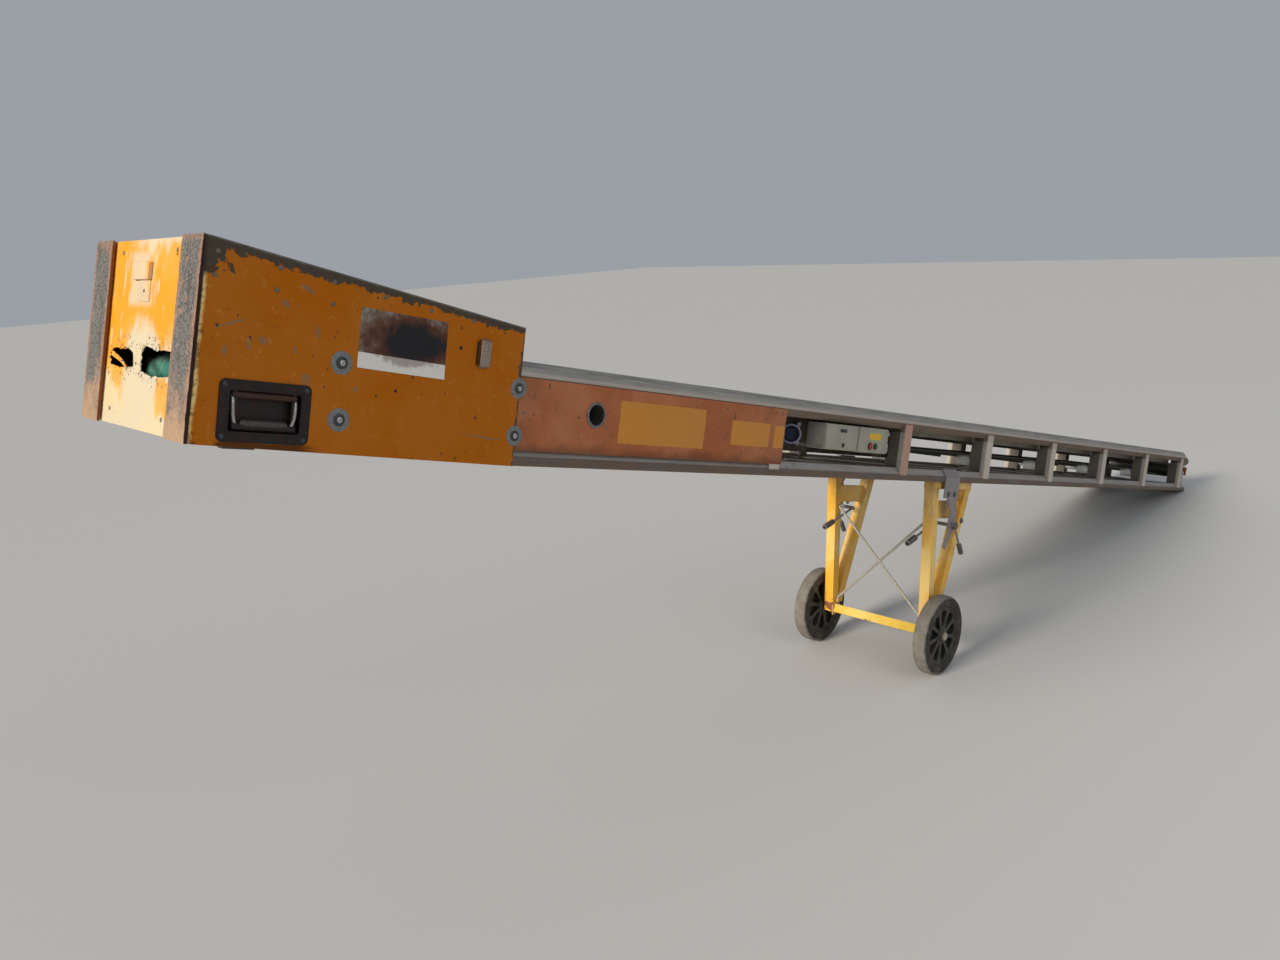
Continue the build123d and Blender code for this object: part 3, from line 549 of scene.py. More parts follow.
@dataclass(frozen=True)
class Weld:
    """A hand weld: a round bead whose size swells and shrinks along its path."""

    radius: float = 0.0028
    pitch: float = 0.005

    def add(self, stock: Stock, start: np.ndarray, end: np.ndarray, up: Sequence[float]) -> None:
        """Adds a bead between two points.

        Formula: the circle's size is one plus 0.16 times the sine of the way over the pitch and 0.08
        times a slower sine of it, and it shrinks to a quarter at both ends.

        Args:
            stock: piece that it joins.
            start: first point.
            end: last point.
            up: direction that isn't along the bead.
        """
        length = float(np.linalg.norm(end - start))
        count = max(8, int(length / self.pitch * 3))
        way = np.linspace(0.0, 1.0, count)
        path = start + way[:, None] * (end - start)
        turns = way * length / self.pitch
        swell = 1 + 0.16 * np.sin(turns * TAU) + 0.08 * np.sin(turns * 2.3)
        taper = np.clip(np.minimum(way, 1 - way) * length / 0.004, 0.25, 1.0)
        stock.carried(path, round_profile(self.radius, 7), up, swell * taper)


# Finishes.


class Wire:
    """A node's result on which sums are written with plain signs; each sum is one math node."""

    def __init__(self, graph: "Graph", socket: bpy.types.NodeSocket) -> None:
        """Holds the result's socket and the graph that its sums go into."""
        self.graph, self.socket = graph, socket

    def __add__(self, other: "Wire | float") -> "Wire":
        """The result plus another one or a number."""
        return self.graph.math("ADD", self, other)

    def __sub__(self, other: "Wire | float") -> "Wire":
        """The result less another one or a number."""
        return self.graph.math("SUBTRACT", self, other)

    def __rsub__(self, other: float) -> "Wire":
        """A number less the result."""
        return self.graph.math("SUBTRACT", other, self)

    def __mul__(self, other: "Wire | float") -> "Wire":
        """The result times another one or a number."""
        return self.graph.math("MULTIPLY", self, other)

    def __truediv__(self, other: "Wire | float") -> "Wire":
        """The result over another one or a number."""
        return self.graph.math("DIVIDE", self, other)

    def __abs__(self) -> "Wire":
        """The result without its sign."""
        return self.graph.math("ABSOLUTE", self)

    def held(self) -> "Wire":
        """The same result, held between 0 and 1."""
        self.socket.node.use_clamp = True
        return self


# What a sum takes, and what a finish lays: colour, roughness and height.
Value = Wire | float
Layers = tuple[object, Value, Value]


class Graph:
    """Adds shader nodes to one tree and wires them."""

    def __init__(self, tree: bpy.types.NodeTree) -> None:
        """Works on this node tree."""
        self.tree = tree

    def add(self, kind: str, feeds: dict | None = None, **settings: object) -> bpy.types.Node:
        """A new node with its settings made and its inputs fed by values or by other sockets.

        Args:
            kind: the node's type.
            feeds: values or wires by input.
            settings: the node's own settings.

        Returns:
            The node.
        """
        node = self.tree.nodes.new(kind)
        for key, value in settings.items():
            setattr(node, key, value)
        for key, value in (feeds or {}).items():
            self.feed(node.inputs[key], value)
        return node

    def feed(self, socket: bpy.types.NodeSocket, value: object) -> None:
        """Wires a socket to another one, or sets its value.

        Args:
            socket: the input.
            value: what is set or wired.
        """
        value = value.socket if isinstance(value, Wire) else value
        if isinstance(value, bpy.types.NodeSocket):
            self.tree.links.new(value, socket)
        elif socket.type == "RGBA":
            socket.default_value = (*value, 1.0) if len(value) == 3 else value
        else:
            socket.default_value = value

    def math(self, operation: str, *values: Value) -> Wire:
        """The result of one sum on numbers or wires."""
        node = self.add("ShaderNodeMath", dict(enumerate(values)), operation=operation)
        return Wire(self, node.outputs[0])

    def mix(self, part: object, first: object, second: object, blend: str = "MIX") -> Wire:
        """Two colours mixed by a mask."""
        node = self.add("ShaderNodeMix", {0: part, 6: first, 7: second}, data_type="RGBA", blend_type=blend)
        return Wire(self, node.outputs[2])

    def step(self, value: Value, low: Value, high: Value, first: float = 0.0, last: float = 1.0) -> Wire:
        """A smooth step of a value between two limits."""
        node = self.add("ShaderNodeMapRange", {"Value": value, "From Min": low, "From Max": high,
                "To Min": first, "To Max": last}, interpolation_type="SMOOTHSTEP", clamp=True)
        return Wire(self, node.outputs["Result"])

    def noise(self, vector: Wire, scale: Value, detail: float = 4.0, rough: float = 0.55,
              warp: float = 0.0) -> Wire:
        """Cloudy noise, from 0 to 1."""
        node = self.add("ShaderNodeTexNoise", {"Vector": vector, "Scale": scale, "Detail": detail,
                                               "Roughness": rough, "Distortion": warp})
        return Wire(self, node.outputs["Fac"])

    def stretch(self, vector: object, size: Sequence[float], shift: Sequence[float] = (0, 0, 0),
                turn: Sequence[float] = (0, 0, 0)) -> Wire:
        """A vector scaled, turned and shifted."""
        node = self.add("ShaderNodeMapping",
                        {"Vector": vector, "Location": shift, "Rotation": turn, "Scale": size})
        return Wire(self, node.outputs[0])

    def parts(self, vector: object) -> tuple[Wire, ...]:
        """The three numbers of a vector."""
        return tuple(Wire(self, s) for s in self.add("ShaderNodeSeparateXYZ", {0: vector}).outputs)

    def most(self, *masks: Value) -> Wire:
        """The largest of several masks.

        Args:
            masks: numbers or wires.

        Returns:
            The largest at each point.
        """
        result = masks[0]
        for mask in masks[1:]:
            result = self.math("MAXIMUM", result, mask)
        return result

    def effect(self, group: bpy.types.NodeTree, **feeds: object) -> tuple[Wire, ...]:
        """The results of a shared effect, whose inputs are fed by name.

        Args:
            group: the effect.
            feeds: values or wires by input.

        Returns:
            Its results.
        """
        node = self.add("ShaderNodeGroup", node_tree=group)
        for key, value in feeds.items():
            self.feed(node.inputs[key], value)
        return tuple(Wire(self, s) for s in node.outputs)

    def patches(self, place: Wire, scale: Value, cover: Value, soft: float) -> Wire:
        """The mask of the shared worn patches."""
        return self.effect(Effects.patches(), Place=place, Scale=scale, Cover=cover, Soft=soft)[0]

    def scratches(self, place: Wire, scale: Value, width: float) -> Wire:
        """The mask of the shared fine scratches."""
        return self.effect(Effects.scratches(), Place=place, Scale=scale, Width=width)[0]


class Effects:
    """The effects that several finishes share, each a node group made once."""

    made: dict[str, bpy.types.NodeTree] = {}
    KINDS = {"V": "NodeSocketVector", "F": "NodeSocketFloat", "C": "NodeSocketColor"}

    @classmethod
    def group(cls, name: str, inputs: str, outputs: str,
              build: Callable[[Graph, dict, dict], None]) -> bpy.types.NodeTree:
        """Makes a group or returns the one already made.

        Args:
            name: of the effect.
            inputs: words of the form kind:name, kind being V, F or C.
            outputs: the same for its outputs.
            build: wires the inputs' sockets to the outputs' sockets.

        Returns:
            The node group.
        """
        if name not in cls.made:
            tree = bpy.data.node_groups.new(name, "ShaderNodeTree")
            for words, way in ((inputs, "INPUT"), (outputs, "OUTPUT")):
                for word in words.split():
                    kind, label = word.split(":")
                    tree.interface.new_socket(name=label, in_out=way, socket_type=cls.KINDS[kind])
            graph = Graph(tree)
            start, end = graph.add("NodeGroupInput"), graph.add("NodeGroupOutput")
            build(graph, {s.name: Wire(graph, s) for s in start.outputs}, {s.name: s for s in end.inputs})
            cls.made[name] = tree
        return cls.made[name]

    @classmethod
    def patches(cls) -> bpy.types.NodeTree:
        """Worn patches: two sizes of cloudy noise added, then cut at a level set by how much they cover.

        Returns:
            The node group.
        """
        def build(g: Graph, i: dict, o: dict) -> None:
            """Wires the effect in graph g, from its inputs i to its outputs o."""
            warp = g.noise(i["Place"], i["Scale"] * 2.7, 3.0, 0.6)
            large = g.noise(i["Place"], i["Scale"], 5.0, 0.62, 0.4)
            both = large * 0.72 + warp * 0.28
            low = 0.74 - i["Cover"] * 0.48
            g.feed(o["Mask"], g.step(both, low, low + i["Soft"]))
        return cls.group("worn patches", "V:Place F:Scale F:Cover F:Soft", "F:Mask", build)

    @classmethod
    def scratches(cls) -> bpy.types.NodeTree:
        """Fine scratches: where stretched noise is near its middle value, broken up by cloudy noise.

        Returns:
            The node group.
        """
        def build(g: Graph, i: dict, o: dict) -> None:
            """Wires the effect in graph g, from its inputs i to its outputs o."""
            lines = g.noise(i["Place"], i["Scale"], 2.0, 0.5, 0.15)
            near = abs(lines - 0.5)
            thin = g.step(near, i["Width"], 0.0)
            broken = g.step(g.noise(i["Place"], i["Scale"] * 0.31, 3.0), 0.48, 0.62)
            g.feed(o["Mask"], thin * broken)
        return cls.group("fine scratches", "V:Place F:Scale F:Width", "F:Mask", build)

    @classmethod
    def dust(cls) -> bpy.types.NodeTree:
        """Settled dust: more on faces that look up, broken by noise of two sizes.

        Returns:
            The node group.
        """
        def build(g: Graph, i: dict, o: dict) -> None:
            """Wires the effect in graph g, from its inputs i to its outputs o."""
            up = g.parts(i["Facing"])[2]
            lies = g.step(up, -0.1, 0.95)
            cloud = g.step(g.noise(i["Place"], 9.0, 6.0, 0.65), 0.32, 0.7)
            fine = g.step(g.noise(i["Place"], 160.0, 3.0), 0.35, 0.75)
            cover = (lies * 0.75 + 0.18) * cloud
            grit = fine * 0.5 + 0.5
            g.feed(o["Mask"], (cover * grit * i["Amount"]).held())
        return cls.group("settled dust", "V:Place V:Facing F:Amount", "F:Mask", build)

    @classmethod
    def coat(cls) -> bpy.types.NodeTree:
        """Old paint: fading, stains, chips down to bare steel with a rusty rim, and its relief.

        Returns:
            The node group.
        """
        def build(g: Graph, i: dict, o: dict) -> None:
            """Wires the effect in graph g, from its inputs i to its outputs o."""
            cloud = g.noise(i["Place"], 5.5, 6.0, 0.6)
            tone = g.mix(g.step(cloud, 0.38, 0.68) * i["Fade"], i["Paint"], i["Faded"])
            specks = g.step(g.noise(i["Place"], 55.0, 4.0, 0.7), 0.58, 0.72)
            tone = g.mix(specks * 0.1, tone, i["Faded"])
            tone = g.mix((i["Stain"] * 0.75).held(), tone, i["Grime"])
            chipped = g.step(i["Chips"], 0.55, 0.62)
            rim = (g.step(i["Chips"], 0.3, 0.5) - chipped * 0.55).held()
            mottle = g.noise(i["Place"], 120.0, 4.0, 0.7)
            steel = g.mix(g.step(mottle, 0.36, 0.7), i["Bare"], i["Rust"])
            steel = g.mix(0.6, i["Bare"], steel)
            tone = g.mix(rim * 0.55, tone, i["Rust"])
            g.feed(o["Colour"], g.mix(chipped, tone, steel))
            sheen = cloud * 0.22 + i["Rough"]
            g.feed(o["Roughness"], (chipped * 0.22 + sheen).held())
            peel = g.noise(i["Place"], 420.0, 2.0)
            relief = peel * 0.12 + chipped * -0.8
            pits = mottle * chipped * 0.5
            g.feed(o["Height"], relief + pits)
        return cls.group("old paint",
                "V:Place C:Paint C:Faded C:Bare C:Rust C:Grime F:Fade F:Stain F:Chips F:Rough",
                "C:Colour F:Roughness F:Height", build)


def shade(colour: Colour, factor: float) -> Colour:
    """A darker or lighter tone: each number times the factor, and at most one."""
    return tuple(min(1.0, c * factor) for c in colour)


def srgb(red: float, green: float, blue: float) -> Colour:
    """A linear colour from screen values of 0 to 255.

    Args:
        red: first value.
        green: second value.
        blue: third value.

    Returns:
        The same colour in numbers of 0 to 1.
    """
    value = np.array([red, green, blue]) / 255
    linear = np.where(value <= 0.04045, value / 12.92, ((value + 0.055) / 1.055) ** 2.4)
    return tuple(float(x) for x in linear)


@dataclass(frozen=True)
class Finish:
    """A finish with one Principled shader; its kinds lay their own colour and relief over it."""

    name: str
    colour: Colour
    rough: float = 0.5
    metal: float = 0.0
    relief: float = 0.0006
    gloss: float = 0.35
    dusty: float = 0.25
    dust: Colour = (0.42, 0.36, 0.28)
    centre: tuple[float, float, float] | None = None
    mottle: float = 0.62

    def material(self) -> bpy.types.Material:
        """The material of this finish, made at its first use.

        Returns:
            The material.
        """
        found = bpy.data.materials.get(self.name)
        if found:
            return found
        material = bpy.data.materials.new(self.name)
        material.use_nodes = True
        material.node_tree.nodes.clear()
        graph = Graph(material.node_tree)
        shader = graph.add("ShaderNodeBsdfPrincipled",
                           {"Metallic": self.metal, "Specular IOR Level": self.gloss})
        output = graph.add("ShaderNodeOutputMaterial", {"Surface": shader.outputs[0]})
        output.is_active_output = True
        spots = graph.add("ShaderNodeTexCoord")
        place = self.deck_place(graph, spots.outputs["Object"])
        facing = graph.add("ShaderNodeNewGeometry").outputs["Normal"]
        colour, rough, height = self.lay(graph, place)
        cover = graph.effect(Effects.dust(), Place=place, Facing=facing, Amount=self.dusty)[0]
        graph.feed(shader.inputs["Base Color"], graph.mix(cover, colour, self.dust))
        graph.feed(shader.inputs["Roughness"], (cover * 0.3 + rough).held())
        bump = graph.add("ShaderNodeBump", {"Height": height, "Strength": 1.0, "Distance": self.relief})
        graph.feed(shader.inputs["Normal"], bump.outputs[0])
        return material

    def deck_place(self, graph: Graph, place: bpy.types.NodeSocket) -> Wire:
        """Turns object coordinates into deck coordinates, or centres them on the finish's own centre.

        Args:
            graph: the material's graph.
            place: the object coordinates' socket.

        Returns:
            Deck coordinates, or the ones round the centre.
        """
        if self.centre is not None:
            return graph.stretch(place, (1, 1, 1), tuple(-x for x in self.centre))
        shift = (-float(DECK.origin @ DECK.along), 0.0, -float(DECK.origin @ DECK.square))
        return graph.stretch(place, (1, 1, 1), shift, (0.0, -DECK.tilt, 0.0))

    def lay(self, g: Graph, place: Wire) -> Layers:
        """Colour, roughness and height over the surface: mottled tones with fine grain.

        Args:
            g: the material's graph.
            place: coordinates on the object.

        Returns:
            Sockets of colour, roughness and height.
        """
        cloud = g.noise(place, 14.0, 5.0, 0.6)
        grain = g.noise(place, 380.0, 3.0)
        tone = g.mix(g.step(cloud, 0.35, 0.7), shade(self.colour, self.mottle), self.colour)
        tone = g.mix(g.step(grain, 0.5, 0.8) * 0.2, tone, shade(self.colour, 1.5))
        rough = cloud * 0.25 + (self.rough - 0.1)
        return tone, rough, grain


@dataclass(frozen=True)
class OldPaint(Finish):
    """Worn paint on steel, chipped along the edges and stained."""

    faded: Colour = (0.8, 0.6, 0.3)
    bare: Colour = (0.11, 0.1, 0.085)
    rust: Colour = (0.16, 0.05, 0.018)
    grime: Colour = (0.07, 0.04, 0.02)
    fade: float = 0.5
    chip_scale: float = 34.0
    chip_cover: float = 0.22
    stain_cover: float = 0.35

    def wear(self, g: Graph, place: Wire) -> Value:
        """A mask that adds chips in the places this part wears; none on plain parts."""
        return 0.0

    def layers(self, g: Graph, place: Wire, paint: object, stain: Value = 0.0) -> Layers:
        """The coat of paint with the part's own wear and stains.

        Args:
            g: the material's graph.
            place: coordinates on the object.
            paint: colour of sound paint.
            stain: mask of further stains; on the stand's legs it carries painted shade.

        Returns:
            Sockets of colour, roughness and height.
        """
        chips = g.patches(place, self.chip_scale, self.chip_cover, 0.16)
        runs = g.patches(g.stretch(place, (1.0, 1.0, 0.22)), 16.0, self.stain_cover, 0.3)
        scratch = g.scratches(g.stretch(place, (0.5, 1.0, 1.6)), 34.0, 0.006)
        worn = g.most(chips, self.wear(g, place), scratch * 0.62)
        # The part's own stain mask joins the running stains; on the stand's legs it is painted shade.
        dirt = g.most(runs * 0.6, stain)
        return g.effect(Effects.coat(), Place=place, Paint=paint, Faded=self.faded, Bare=self.bare,
                        Rust=self.rust, Grime=self.grime, Fade=self.fade, Stain=dirt, Chips=worn,
                        Rough=self.rough)

    def lay(self, g: Graph, place: Wire) -> Layers:
        """Old paint over the whole part."""
        return self.layers(g, place, self.colour)


@dataclass(frozen=True)
class HopperPaint(OldPaint):
    """The hopper's paint, darkened to orange as painted shade: bare along its upper edge, rubbed in ovals
    where things knocked it.
    """

    ovals: tuple[tuple[float, float, float, float, float], ...] = ()
    rubbed: Colour = (0.20, 0.145, 0.09)

    def wear(self, g: Graph, place: Wire) -> Value:
        """Bare metal: a ragged band below the sloping edge, worn ends and folds, and small nicks.

        Formula: the band is where n, moved by noise, is within 17 mm of the edge's line.

        Args:
            g: the material's graph.
            place: deck coordinates of the surface.

        Returns:
            The mask of wear.
        """
        s, _, n = g.parts(place)
        ragged = g.noise(place, 38.0, 5.0, 0.66) - 0.5
        edge = s * HOOD_FALL + HOOD_HEAD[1]
        band = g.step(ragged * 0.055 + (n - edge), -0.021, -0.013)
        foot = g.step(ragged * 0.05 + 0.02 - n, 0.01, 0.015)
        front = g.step(ragged * 0.04 + s, 0.697, 0.702)
        fold = g.step(ragged * 0.1 + s, 0.006, -0.008) * 0.55
        corner = g.step(ragged * 0.16 + s, 0.034, 0.024) * g.step(n, 0.3, 0.318)
        nicks = g.step(g.noise(place, 74.0, 2.0, 0.5), 0.715, 0.75)
        return g.most(band, foot * g.step(s, 0.12, 0.03, 0.0, 0.9), front, fold, corner, nicks)

    def rubs(self, g: Graph, s: Wire, n: Wire, ragged: Wire) -> Value:
        """Rubbed ovals and scratches.

        Formula: an oval is where the squares of the two distances over its half lengths, after its turn,
        add up to less than one.

        Args:
            g: the material's graph.
            s: length along the conveyor.
            n: height square to it.
            ragged: noise round zero that moves the ovals' edges.

        Returns:
            The ovals' mask.
        """
        result: Value = 0.0
        for at, height, long, wide, turn in self.ovals:
            c, k = math.cos(math.radians(turn)), math.sin(math.radians(turn))
            a = ragged * 0.02 + (s - at)
            b = ragged * -0.02 + (n - height)
            first = (a * c + b * k) / long
            second = (b * c - a * k) / wide
            far = first * first + second * second
            result = g.most(result, g.step(far, 1.5, 0.4, 0.0, 0.95 if wide < 0.003 else 0.62))
        return result

    def lay(self, g: Graph, place: Wire) -> Layers:
        """Orange paint with a painted cream highlight on the rear fold, and a bright worn line along the
        sloping edge.

        Formula: the way from the fold is s less the fold's own s, which grows in proportion to n.

        Args:
            g: the material's graph.
            place: deck coordinates of the surface.

        Returns:
            Colour, roughness and height.
        """
        s, y, n = g.parts(place)
        ragged = g.noise(place, 26.0, 5.0, 0.6) - 0.5
        lean = (HOOD_HEAD[0] - HOOD_FOOT[0]) / (HOOD_HEAD[1] - HOOD_FOOT[1])
        fold = (n - HOOD_FOOT[1]) * -lean + (s - HOOD_FOOT[0])
        # Painted highlight: a cream band along the rear fold, in the faded colour.
        cream = g.step(ragged * 0.014 + fold, 0.0105, 0.003)
        paint = g.mix(cream * 0.95, self.colour, self.faded)
        rubbed = self.rubs(g, s, n, g.noise(place, 38.0, 5.0, 0.66) - 0.5)
        paint = g.mix(rubbed, paint, self.rubbed)
        colour, rough, height = self.layers(g, place, paint)
        # Painted shade: a dark brown band between the handle's lower lip and the side's foot.
        shade_under_handle = g.step(ragged * 0.01 + n, 0.0262, 0.0215)
        shade_under_handle = shade_under_handle * (g.step(s, 0.03, 0.045) * g.step(s, 0.24, 0.19))
        colour = g.mix(shade_under_handle * 0.8, colour, (0.03, 0.014, 0.006))
        rim = n - (s * HOOD_FALL + HOOD_HEAD[1])
        worn = g.step(ragged * 0.006 + rim, -0.005, -0.0012) * 0.65
        colour = g.mix(worn, colour, (0.21, 0.195, 0.165))
        # Inner faces: dirty steel with darker patches, going near black towards the bottom as painted shade.
        inside = g.step(abs(y), 0.2509, 0.2503)
        inside_dirt_and_shade = g.mix(g.step(n, 0.20, 0.30), (0.010, 0.008, 0.006), (0.13, 0.10, 0.07))
        inside_dirt_and_shade = g.mix(g.step(g.noise(place, 21.0, 6.0, 0.65), 0.45, 0.7, 0.0, 0.6), inside_dirt_and_shade, (0.05, 0.028, 0.016))
        return (g.mix(inside, colour, inside_dirt_and_shade), (inside * 0.2 + rough).held(), height)


@dataclass(frozen=True)
class EndPaint(OldPaint):
    """The rear plate's paint: yellow above, rubbed to cream primer below and in blotches."""

    cream: Colour = (0.70, 0.60, 0.42)

    def wear(self, g: Graph, place: Wire) -> Value:
        """Small dark chips, closest together round the two torn holes.

        Formula: the closeness to a hole is one less the scaled distance from its middle.

        Args:
            g: the material's graph.
            place: deck coordinates of the surface.

        Returns:
            The mask of wear.
        """
        _, y, n = g.parts(place)
        fine = g.noise(place, 130.0, 5.0, 0.7)
        result: Value = 0.0
        for middle, wide in ((0.090, 0.085), (-0.076, 0.095)):
            a = (y - middle) / wide
            b = (n - 0.148) / 0.045
            near = g.step(g.math("SQRT", a * a + b * b), 1.5, 0.8)
            result = g.most(result, near * g.step(fine, 0.52, 0.66))
        return result

    def lay(self, g: Graph, place: Wire) -> Layers:
        """Yellow over cream: the cream shows below 0.2 m, in the latch's surround and at the upper edge.

        Args:
            g: the material's graph.
            place: deck coordinates of the surface.

        Returns:
            Colour, roughness and height.
        """
        _, y, n = g.parts(place)
        ragged = g.noise(g.stretch(place, (1.0, 1.0, 0.4)), 17.0, 6.0, 0.62) - 0.5
        left = g.step(y, 0.055, 0.125)
        low = g.step(ragged * 0.26 + (left * 0.095 + n), 0.225, 0.165)
        right = g.step(ragged * 0.1 + y, -0.085, -0.105)
        low = (low - right * g.step(abs(ragged * 0.12 + n - 0.085), 0.04, 0.026) * 0.9).held()
        keeps = g.step(g.noise(g.stretch(place, (1, 1, 0.3)), 11.0, 3.0), 0.5, 0.6)
        keeps = keeps * g.step(abs(y), 0.05, 0.11) * g.step(n, 0.035, 0.07)
        top = g.step(ragged * 0.14 + n, 0.34, 0.365) * g.step(y, 0.12, 0.0)
        patch = g.step(ragged * 0.3 + abs(y - 0.02), 0.07, 0.03) * g.step(abs(n - 0.3), 0.06, 0.04)
        spots = g.step(g.noise(g.stretch(place, (1, 1, 0.35)), 42.0, 5.0, 0.6), 0.6, 0.66)
        cream = g.most((low - keeps * 0.9).held(), top, patch * 0.85, spots * 0.8)
        paint = g.mix(cream, self.colour, self.cream)
        return self.layers(g, place, paint)


@dataclass(frozen=True)
class StandPaint(OldPaint):
    """The stand's yellow paint: rusty round the feet, the gussets and the welds."""

    foot_rust: float = 0.24

    def wear(self, g: Graph, place: Wire) -> Value:
        """Rust towards the axle: noise cut lower as n falls to it."""
        n = g.parts(place)[2]
        foot = g.step(n, -0.52, -0.585)
        return g.step(foot * self.foot_rust + g.noise(place, 46.0, 5.0, 0.65), 0.66, 0.78)

    def lay(self, g: Graph, place: Wire) -> Layers:
        """Yellow paint, browner towards the rails as painted shade of the frame above, broken by noise."""
        n = g.parts(place)[2]
        # Painted shade: the legs turn browner towards the rails, broken by noise.
        shade_under_rails = g.step(n, -0.2, -0.03) * g.step(g.noise(place, 12.0, 5.0), 0.3, 0.65)
        return self.layers(g, place, self.colour, shade_under_rails * 0.75)


@dataclass(frozen=True)
class AxlePaint(StandPaint):
    """The axle's paint, bare and brass-coloured on its two ends."""

    end: Colour = (0.52, 0.43, 0.30)

    def lay(self, g: Graph, place: Wire) -> Layers:
        """Stand paint up to the ends, whose bare metal starts where |y| passes the wheels.

        Args:
            g: the material's graph.
            place: deck coordinates of the surface.

        Returns:
            Colour, roughness and height.
        """
        colour, rough, height = super().lay(g, place)
        bare = g.step(abs(g.parts(place)[1]), 0.2955, 0.296)
        spots = g.mix(g.step(g.noise(place, 180.0), 0.4, 0.7), self.end, shade(self.end, 0.5))
        return g.mix(bare, colour, spots), rough, height


@dataclass(frozen=True)
class RailMetal(Finish):
    """Oxidised aluminium: drawn lines along s, grey blotches, cement dirt and long scratches."""

    dirt: Colour = (0.10, 0.075, 0.055)
    bright: Colour = (0.45, 0.44, 0.43)
    dirt_cover: float = 0.5

    def lay(self, g: Graph, place: Wire) -> Layers:
        """Streaks from noise stretched along s, blotches, scratches that show bright metal, and painted light
        and shade in bands.

        Args:
            g: the material's graph.
            place: deck coordinates of the surface.

        Returns:
            Colour, roughness and height.
        """
        _, y, n = g.parts(place)
        streaks = g.noise(g.stretch(place, (0.9, 26.0, 26.0)), 7.0, 5.0, 0.6)
        cloud = g.noise(g.stretch(place, (0.6, 1.0, 1.0)), 9.0, 6.0, 0.62)
        tone = g.mix(g.step(streaks, 0.3, 0.72), shade(self.colour, 0.72), self.colour)
        blot = g.patches(g.stretch(place, (0.5, 1.0, 1.0)), 16.0, self.dirt_cover, 0.3)
        tone = g.mix(blot * 0.7, tone, self.dirt)
        cement = g.patches(place, 60.0, 0.22, 0.1)
        tone = g.mix(cement * 0.6, tone, (0.42, 0.39, 0.34))
        scratch = g.scratches(g.stretch(place, (0.35, 1.6, 1.6)), 30.0, 0.007)
        tone = g.mix(scratch * 0.7, tone, self.bright)
        # Painted highlight: a pale warm band on the outer lip.
        lip = g.step(n, 0.2005, 0.2025) * g.step(n, 0.2125, 0.2085)
        tone = g.mix(lip * 0.65, tone, (0.56, 0.48, 0.43))
        # Painted shade: brown on the underside below the lip.
        under = g.step(n, 0.2026, 0.2016) * g.step(n, 0.168, 0.17)
        tone = g.mix(under * g.step(cloud, 0.2, 0.6, 0.7, 0.95), tone, (0.19, 0.128, 0.09))
        # Painted shade: the inner faces near black.
        inner = g.step(abs(y), 0.232, 0.226) * g.step(n, 0.19, 0.18)
        tone = g.mix(inner * 0.8, tone, (0.05, 0.038, 0.027))
        # Painted shade: the upper bevel a darker blue-grey.
        bevel = g.step(n, 0.2222, 0.2232) * g.step(abs(y), 0.2375, 0.2385)
        tone = g.mix(bevel * g.step(streaks, 0.25, 0.65, 0.6, 0.2), tone, (0.1, 0.105, 0.12))
        low = g.step(n, 0.0255, 0.0200)
        brown = g.mix(g.step(cloud, 0.3, 0.7), self.dirt, shade(self.dirt, 2.1))
        tone = g.mix(low * g.step(cloud, 0.3, 0.6, 0.75, 0.97), tone, brown)
        rough = cloud * 0.3 + (self.rough - 0.12)
        rough = (blot * 0.2 + rough).held()
        height = streaks * 0.4 + scratch * -0.6
        return (tone, rough, cement * 0.5 + height)


@dataclass(frozen=True)
class PostMetal(RailMetal):
    """The cross frames' aluminium: the first open bay's post keeps a salmon coat on its outer face."""

    salmon: Colour = (0.50, 0.27, 0.19)

    def lay(self, g: Graph, place: Wire) -> Layers:
        """Metal with a pale painted highlight along the outer edges, and salmon where s lies on that post and
        |y| near its outer face.

        Args:
            g: the material's graph.
            place: deck coordinates of the surface.

        Returns:
            Colour, roughness and height.
        """
        tone, rough, height = super().lay(g, place)
        s, y, n = g.parts(place)
        # Painted highlight: a pale band along the posts' outer edges.
        edge = g.step(abs(y), 0.2415, 0.2465) * g.step(n, 0.2, 0.19)
        tone = g.mix(edge * 0.7, tone, (0.62, 0.55, 0.47))
        near = g.step(abs(s - 2.484), 0.03, 0.028) * g.step(abs(y), 0.247, 0.2476)
        worn = g.step(g.noise(place, 40.0, 5.0), 0.3, 0.42, 0.0, 0.85)
        return (g.mix(near * worn, tone, self.salmon), rough, height)


@dataclass(frozen=True)
class PanelPaint(OldPaint):
    """The side panel: faded salmon paint, browner at its ends, grimy along its lower edge."""

    def wear(self, g: Graph, place: Wire) -> Value:
        """Small dark chips and leaning nicks: the peaks of noise, also drawn out along a slant."""
        drawn = g.stretch(place, (1.5, 1.0, 0.42), turn=(0.0, 0.6, 0.0))
        return g.most(g.step(g.noise(place, 62.0, 2.0, 0.5), 0.71, 0.74),
                g.step(g.noise(drawn, 58.0, 3.0), 0.68, 0.71))

    def lay(self, g: Graph, place: Wire) -> Layers:
        """Salmon paint that turns browner towards both ends.

        Args:
            g: the material's graph.
            place: deck coordinates of the surface.

        Returns:
            Colour, roughness and height.
        """
        s, _, n = g.parts(place)
        ragged = g.noise(place, 14.0, 5.0) - 0.5
        ends = g.most(g.step(ragged * 0.3 + s, 1.45, 1.75), g.step(ragged * 0.2 + s, 0.8, 0.7))
        paint = g.mix(ends * 0.4, self.colour, self.grime)
        edge = g.step(ragged * 0.05 + n, 0.062, 0.036) * 0.8
        return self.layers(g, place, paint, edge)


